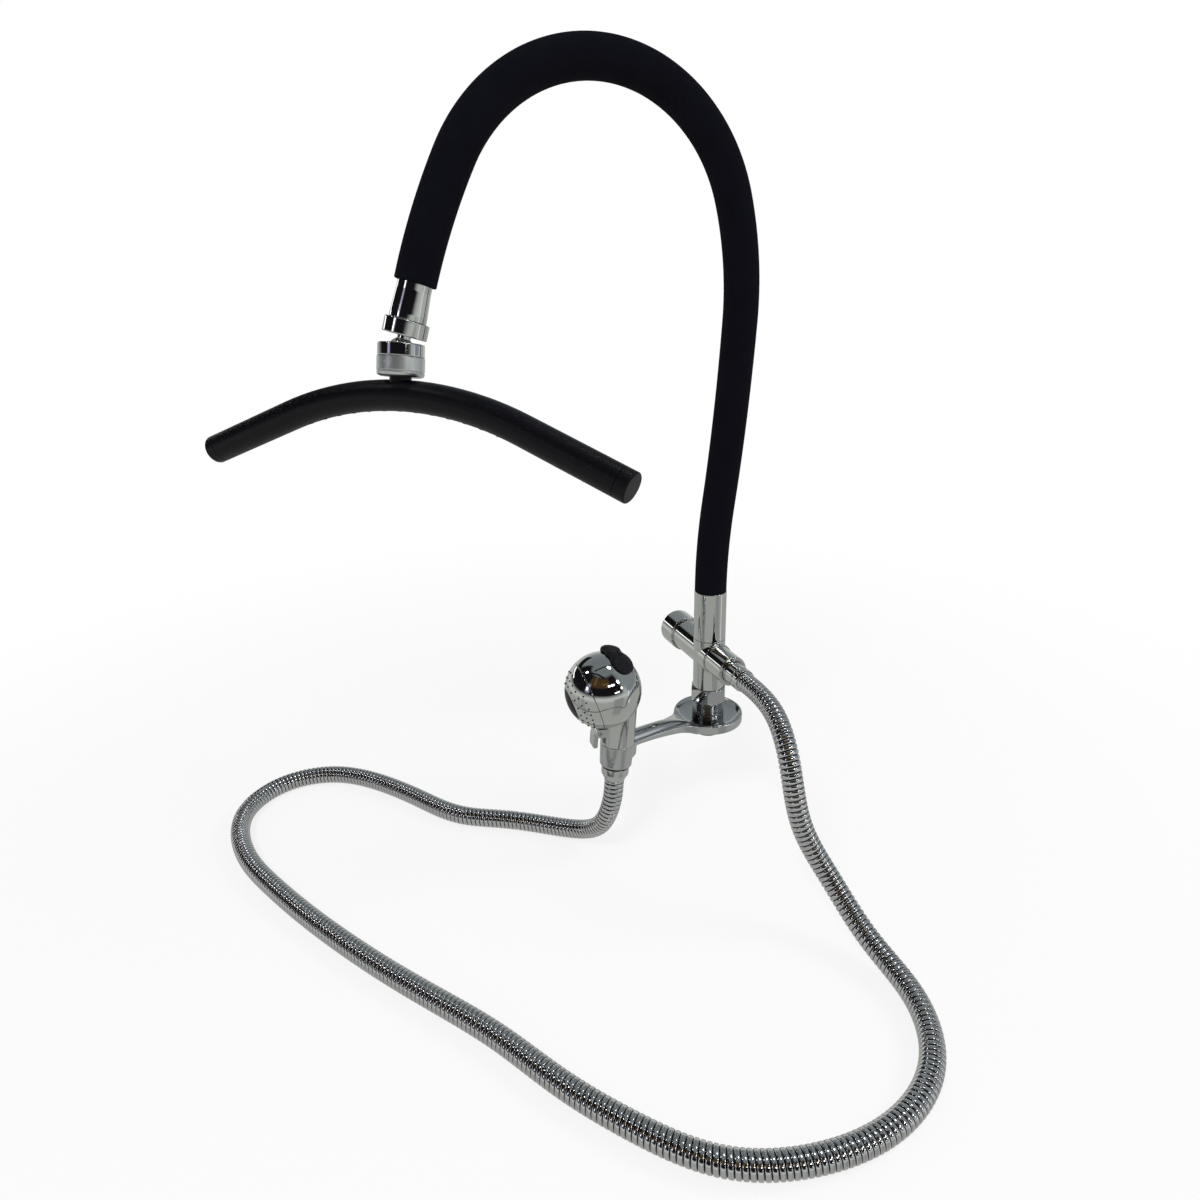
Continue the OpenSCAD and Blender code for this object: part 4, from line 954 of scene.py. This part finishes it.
def make_slider():
    """Lobed rubber pad, thicker on its far lobe, on a thin chrome plate."""
    on_ball("rubber_slider", SLIDER_LOBES, SLIDER_MIDDLE, HEAD_R + SLIDER_GAP, PAD_EDGE, pad_dome,
            GRIP, "thumb_slider")
    on_ball("slider_plate", PLATE_LOBES, PLATE_MIDDLE, HEAD_R + FIT, PLATE_H,
            lambda part, along: 0, CHROME)


def ball_arc(radius, start, end, count):
    """Outline points on a ball, between two angles from its axis."""
    return [(radius * math.sin(a), radius * math.cos(a)) for a in np.linspace(start, end, count)]


def make_spray_face():
    """Front cap of the ball, and the rings of small nubs round its black disc."""
    inside = HEAD_R - HEAD_WALL
    hole, plane, skirt = DISC_R + FIT, CAP_PLANE + CAP_GAP, CAP_PLANE - SKIRT_DEPTH
    turned("spray_cap", [
        *ball_arc(HEAD_R, math.asin(hole / HEAD_R), math.acos(plane / HEAD_R), 22),
        (SKIRT_R, plane), (SKIRT_R, skirt), (SKIRT_R - SKIRT_WALL, skirt),
        (SKIRT_R - SKIRT_WALL, plane + CAP_LIP),
        *ball_arc(inside, math.acos((plane + CAP_LIP) / inside), math.asin(hole / inside), 12),
    ], FACE, CHROME, "handset", "spray_face", edge=0.0003)
    low, high = HEAD_R - NUB_ROOT, HEAD_R + NUB_H
    points, faces = [], []
    for degrees, count in NOZZLE_RINGS:
        for k in range(count):
            place = FACE @ turn("Z", 360 * (k + 0.5) / count) @ turn("Y", degrees)
            extra, more = lathe([(0, low), (NUB_R, low), (NUB_R, high), (0, high)], place, NUB_EDGE, 14)
            faces += [tuple(len(points) + i for i in face) for face in more]
            points += extra
    make_piece("rubber_nubs", points, faces, SEAL, "handset", "face_nozzles")


def make_handset_pieces():
    """Pause lever, cone nut and the black ring on top of the nut."""
    lever = NODES["pause_lever"].data
    shell = new_object("rough", [v.co for v in lever.vertices], [tuple(f.vertices) for f in lever.polygons])
    cast_whole("cast_lever", [shell], LEVER_CELL, LEVER_PASSES, CAST_CHROME, "lever", "pause_lever")
    thread, step = CONE_BOTTOM + CONE_THREAD_UP, CONE_BOTTOM + CONE_STEP_UP
    turned("hose_cone_nut", [
        (CONE_END_R, CONE_BOTTOM), (CONE_END_R, CONE_BOTTOM + CONE_LIP), (CONE_R, CONE_TOP - CONE_TAPER),
        (CONE_R, CONE_TOP), (TAIL_THREAD_R, CONE_TOP), (TAIL_THREAD_R, thread), (CONE_BORE_R, thread),
        (CONE_BORE_R, step), (CONE_HOLE_R, step), (CONE_HOLE_R, CONE_BOTTOM),
    ], HANDSET, CHROME, "handset", "cone_nut", edge=0.0006)
    turned("cone_seal_ring", ring_outline(SPIGOT_R, TAIL_THREAD_R, CONE_TOP, RING_BOTTOM),
           HANDSET, SEAL, "handset", "cone_washer", edge=0.0004)


make_bracket()
make_slider()
make_spray_face()
make_handset_pieces()

# ---- gooseneck and its joint


def make_gooseneck():
    """Foam sleeve, and the two chrome pieces at its end."""
    line = Line([neck_place(s).translation for s in np.linspace(0, FOAM_END, 240)])
    plain, lip = 0.002, 0.0004
    body = [(s, FOAM_R) for s in np.linspace(plain, FOAM_END - plain, 260)]
    far = [(FOAM_END - s, radius) for s, radius in FOAM_EDGE[::-1]]
    bore = [(s, FOAM_BORE_R) for s in np.linspace(FOAM_END - lip, lip, 120)]
    points, faces = swept(line, [*FOAM_EDGE, *body, *far, *bore], 64)
    foam = make_piece("foam_sleeve", points, faces, FOAM, "gooseneck", "gooseneck_cover")
    end = FITTING_LEN - FIT
    turned("neck_end_fitting", [
        (FITTING_R, FIT), (FITTING_R, FITTING_STRAIGHT), (FITTING_WIDE_R, FITTING_LEN - FITTING_RIM),
        (FITTING_WIDE_R, end), (FITTING_BORE_R, end), (FITTING_BORE_R, FITTING_SOCKET),
        (FOAM_BORE_R, FITTING_SOCKET), (FOAM_BORE_R, FIT),
    ], FITTING, CHROME, "gooseneck", "end_fitting")
    turned("neck_joint_ring", [
        (JOINT_RING_R, 0), (JOINT_RING_R, JOINT_RING_H), (JOINT_STEM_R, JOINT_RING_H),
        (JOINT_STEM_R, JOINT_RING_H / 2), (JOINT_BORE_R, JOINT_RING_H / 2), (JOINT_BORE_R, 0),
    ], JOINT_RING, CHROME, "gooseneck", "joint_ring", edge=0.0006)


def make_ball_joint():
    """Ring nut and cup round the ball."""
    seam = NUT_SEAM + NUT_SEAM_GAP
    turned("ball_ring_nut", [
        (RING_NUT_R, seam), (RING_NUT_R, -NUT_SEAM), (NUT_MOUTH_R, -NUT_SEAM), *NUT_SEAT,
        (NUT_THREAD_R, NUT_SEAT[-1][1]), (NUT_THREAD_R, seam),
    ], CUP, CHROME, "bar", "ring_nut", edge=0.0006)
    hole, web = CUP_SEAT[-1][0], CUP_BOTTOM + CUP_NECK_H
    turned("aluminium_cup", [
        *((CUP_R - depth, CUP_BOTTOM + up) for depth, up in CUP_SKIN), (CUP_R, CUP_TOP),
        (CUP_THREAD_R, CUP_TOP), (CUP_THREAD_R, CUP_SEAT[0][1]), *CUP_SEAT,
        (hole, web), (CUP_NECK_R, web), (CUP_NECK_R, CUP_BOTTOM),
    ], CUP, ALUMINIUM, "bar", "joint_cup", edge=0.0003)


make_gooseneck()
make_ball_joint()

# ---- studio

# Floor: how far it runs, its gap below the object, and the paper's shade round a middle
FLOOR_REACH, FLOOR_GAP = 6.0, 0.0002
PAPER_MIDDLE = (-0.13, -0.03)
PAPER_SHADED_TO, PAPER_PLAIN_FROM = 0.25, 0.85
PAPER_GLOW, PAPER_IN_METAL = 0.80, 0.32


def make_floor():
    """Matt white paper that keeps a soft shadow near the object and runs out to plain white."""
    floor_z = CAD_BOX[0].z - FLOOR_GAP
    far = FLOOR_REACH
    points = [(-far, -far, floor_z), (far, -far, floor_z), (far, far, floor_z), (-far, far, floor_z)]
    floor = new_object("studio_floor", points, [(0, 1, 2, 3)])

    paper = bpy.data.materials.new("white_paper")
    tree = empty_tree(paper)
    matt = add(tree, "ShaderNodeBsdfDiffuse", {"Color": linear("#F4F4F4")})
    glow = add(tree, "ShaderNodeEmission", {"Color": (1, 1, 1, 1), "Strength": 1.0})
    away = add(tree, "ShaderNodeVectorMath", {
        0: add(tree, "ShaderNodeTexCoord").outputs["Object"], 1: (*PAPER_MIDDLE, floor_z),
    }, operation="DISTANCE")
    plain = add(tree, "ShaderNodeMapRange", {
        "Value": away.outputs["Value"], "From Min": PAPER_SHADED_TO, "From Max": PAPER_PLAIN_FROM,
        "To Min": PAPER_GLOW, "To Max": 1.0,
    }, interpolation_type="SMOOTHSTEP")
    rays = add(tree, "ShaderNodeLightPath")
    seen = add(tree, "ShaderNodeMath", {
        0: rays.outputs["Is Camera Ray"], 1: rays.outputs["Is Transmission Ray"],
    }, operation="MAXIMUM")
    share = add(tree, "ShaderNodeMath", {0: seen.outputs[0], 1: plain.outputs[0]}, operation="MULTIPLY")
    lit = add(tree, "ShaderNodeMixShader", {0: share.outputs[0], 1: matt.outputs[0], 2: glow.outputs[0]})
    # metal sees the paper too, thinned so that the studio's darker sides show below the horizon
    in_metal = add(tree, "ShaderNodeMixShader", {
        0: PAPER_IN_METAL, 1: add(tree, "ShaderNodeBsdfTransparent").outputs[0], 2: glow.outputs[0],
    })
    both = add(tree, "ShaderNodeMixShader", {
        0: rays.outputs["Is Glossy Ray"], 1: lit.outputs[0], 2: in_metal.outputs[0],
    })
    add(tree, "ShaderNodeOutputMaterial", {"Surface": both.outputs[0]})
    floor.data.materials.append(paper)


# What the metal sees: middle compass direction and height, half widths and softness in degrees,
# colour, strength. Compass 0 is +Y and grows towards +X; the camera stands at about -159.
ROOM_PANELS = (
    # dark end of the studio behind the camera, with a warm wooden wall in it
    (-124, 34, 96, 29, 4, "#141316", 1.0),
    (-146, 45, 40, 14, 3, "#46361F", 1.0),
    (-128, 50, 3, 12, 1, "#6E5A38", 1.0),
    (-168, 42, 12, 2, 1, "#6E5A38", 1.0),
    # pale window at the left, grey cards at the right
    (-108, 24, 6, 12, 3, "#A9A9C4", 1.0),
    (-106, 22, 2.2, 4, 0.8, "#FFFFFF", 4.0),
    (99, 27, 27, 37, 3, "#82888B", 1.0),
    (66, 0, 5, 50, 1.5, "#343636", 1.0),
    (122, -12, 3, 14, 1.5, "#C9CDD8", 1.2),
    # gaps between the cards below the horizon
    (156, -30, 15, 24, 3, "#1E1E1A", 1.0),
    (-98, -32, 4, 24, 1.5, "#2C2C27", 1.0),
    (-84, -30, 3, 24, 1.0, "#34342E", 1.0),
    # black drape far behind, with a strip light under it
    (-14, 22, 18, 9, 1.5, "#10100C", 1.0),
    (-28, 11, 14, 1.4, 0.5, "#FFFFFF", 2.0),
    # small lamps
    (83, 73, 16, 3.5, 0.6, "#FFFFFF", 9.0),
    (142, 37, 3, 4, 0.6, "#FFFFFF", 9.0),
    (171, 35, 12, 1.8, 0.5, "#FFFFFF", 6.0),
    (140, 18, 2.4, 2.2, 0.6, "#FFFFFF", 7.0),
    (158, 12, 8, 1.0, 0.4, "#FFFFFF", 4.0),
    (-62, 50, 4, 3, 0.6, "#FFFFFF", 9.0),
)
# What it sees between them, by the sine of the height from -1 to 1 set out from 0 to 1
ROOM_RAMP = ((0.38, "#6E7064"), (0.46, "#B2B5AE"), (0.56, "#B0B4B0"), (0.68, "#878D8E"), (0.90, "#74797B"))
ROOM_STRENGTH, SOFT_STRENGTH = 1.2, 0.55


def make_room():
    """White background for the eye, and a studio with cards, drapes and lamps for the metal."""
    world = bpy.data.worlds.new("studio_room")
    bpy.context.scene.world = world
    tree = empty_tree(world)
    way = add(tree, "ShaderNodeSeparateXYZ", {
        "Vector": add(tree, "ShaderNodeTexCoord").outputs["Generated"]
    })
    compass = add(tree, "ShaderNodeMath", {0: way.outputs["X"], 1: way.outputs["Y"]}, operation="ARCTAN2")
    height = add(tree, "ShaderNodeMath", {0: way.outputs["Z"]}, operation="ARCSINE")
    sine = add(tree, "ShaderNodeMapRange", {"Value": way.outputs["Z"], "From Min": -1, "From Max": 1})
    room = add(tree, "ShaderNodeValToRGB", {"Fac": sine.outputs[0]})
    stops = room.color_ramp.elements
    for stop, (position, code) in zip(stops, (ROOM_RAMP[0], ROOM_RAMP[-1])):
        stop.position, stop.color = position, linear(code)
    for position, code in ROOM_RAMP[1:-1]:
        stops.new(position).color = linear(code)
    colour = room.outputs["Color"]
    for middle, level, wide, tall, soft, code, strength in ROOM_PANELS:
        sides = []
        for source, at, half in ((compass, middle, wide), (height, level, tall)):
            off = add(tree, "ShaderNodeMath", {
                0: source.outputs[0], 1: math.radians(at),
            }, operation="SUBTRACT")
            wrapped = add(tree, "ShaderNodeMath", {
                0: off.outputs[0], 1: math.pi, 2: -math.pi,
            }, operation="WRAP")
            size = add(tree, "ShaderNodeMath", {0: wrapped.outputs[0]}, operation="ABSOLUTE")
            sides.append(add(tree, "ShaderNodeMapRange", {
                "Value": size.outputs[0], "From Min": math.radians(half - soft),
                "From Max": math.radians(half + soft), "To Min": 1.0, "To Max": 0.0,
            }))
        mask = add(tree, "ShaderNodeMath", {
            0: sides[0].outputs[0], 1: sides[1].outputs[0],
        }, operation="MULTIPLY")
        bright = tuple(strength * v for v in linear(code)[:3]) + (1,)
        colour = add(tree, "ShaderNodeMix", {
            "Factor": mask.outputs[0], 6: colour, 7: bright,
        }, data_type="RGBA").outputs[2]
    rays = add(tree, "ShaderNodeLightPath")
    metal = add(tree, "ShaderNodeBackground", {"Color": colour, "Strength": ROOM_STRENGTH})
    soft = add(tree, "ShaderNodeBackground", {"Color": linear("#EDEDED"), "Strength": SOFT_STRENGTH})
    white = add(tree, "ShaderNodeBackground", {"Color": (1, 1, 1, 1), "Strength": 1.0})
    lit = add(tree, "ShaderNodeMixShader", {
        0: rays.outputs["Is Glossy Ray"], 1: soft.outputs[0], 2: metal.outputs[0],
    })
    clear = add(tree, "ShaderNodeMath", {
        0: rays.outputs["Is Camera Ray"], 1: rays.outputs["Is Transmission Ray"],
    }, operation="MAXIMUM")
    shown = add(tree, "ShaderNodeMixShader", {0: clear.outputs[0], 1: lit.outputs[0], 2: white.outputs[0]})
    add(tree, "ShaderNodeOutputWorld", {"Surface": shown.outputs[0]})


# Lamps: place, diameter in metres, power in watts; each is aimed at the same point
LAMP_AIM = (-0.1, 0, 0.1)
LAMPS = (("key_lamp", (-0.9, -0.9, 1.5), 0.5, 14), ("side_lamp", (1.2, -0.5, 1.1), 0.6, 8))


def make_lamp(name, place, size, power):
    data = bpy.data.lights.new(name, "AREA")
    data.shape, data.size, data.energy = "DISK", size, power
    lamp = in_scene(name, data)
    lamp.location = place
    lamp.rotation_mode = "QUATERNION"
    lamp.rotation_quaternion = (Vector(LAMP_AIM) - Vector(place)).to_track_quat("-Z", "Y")
    # metal sees the room's own small lamps instead of this broad one
    lamp.visible_glossy = False


make_floor()
make_room()
for lamp in LAMPS:
    make_lamp(*lamp)
bpy.context.scene.view_settings.view_transform = "Standard"
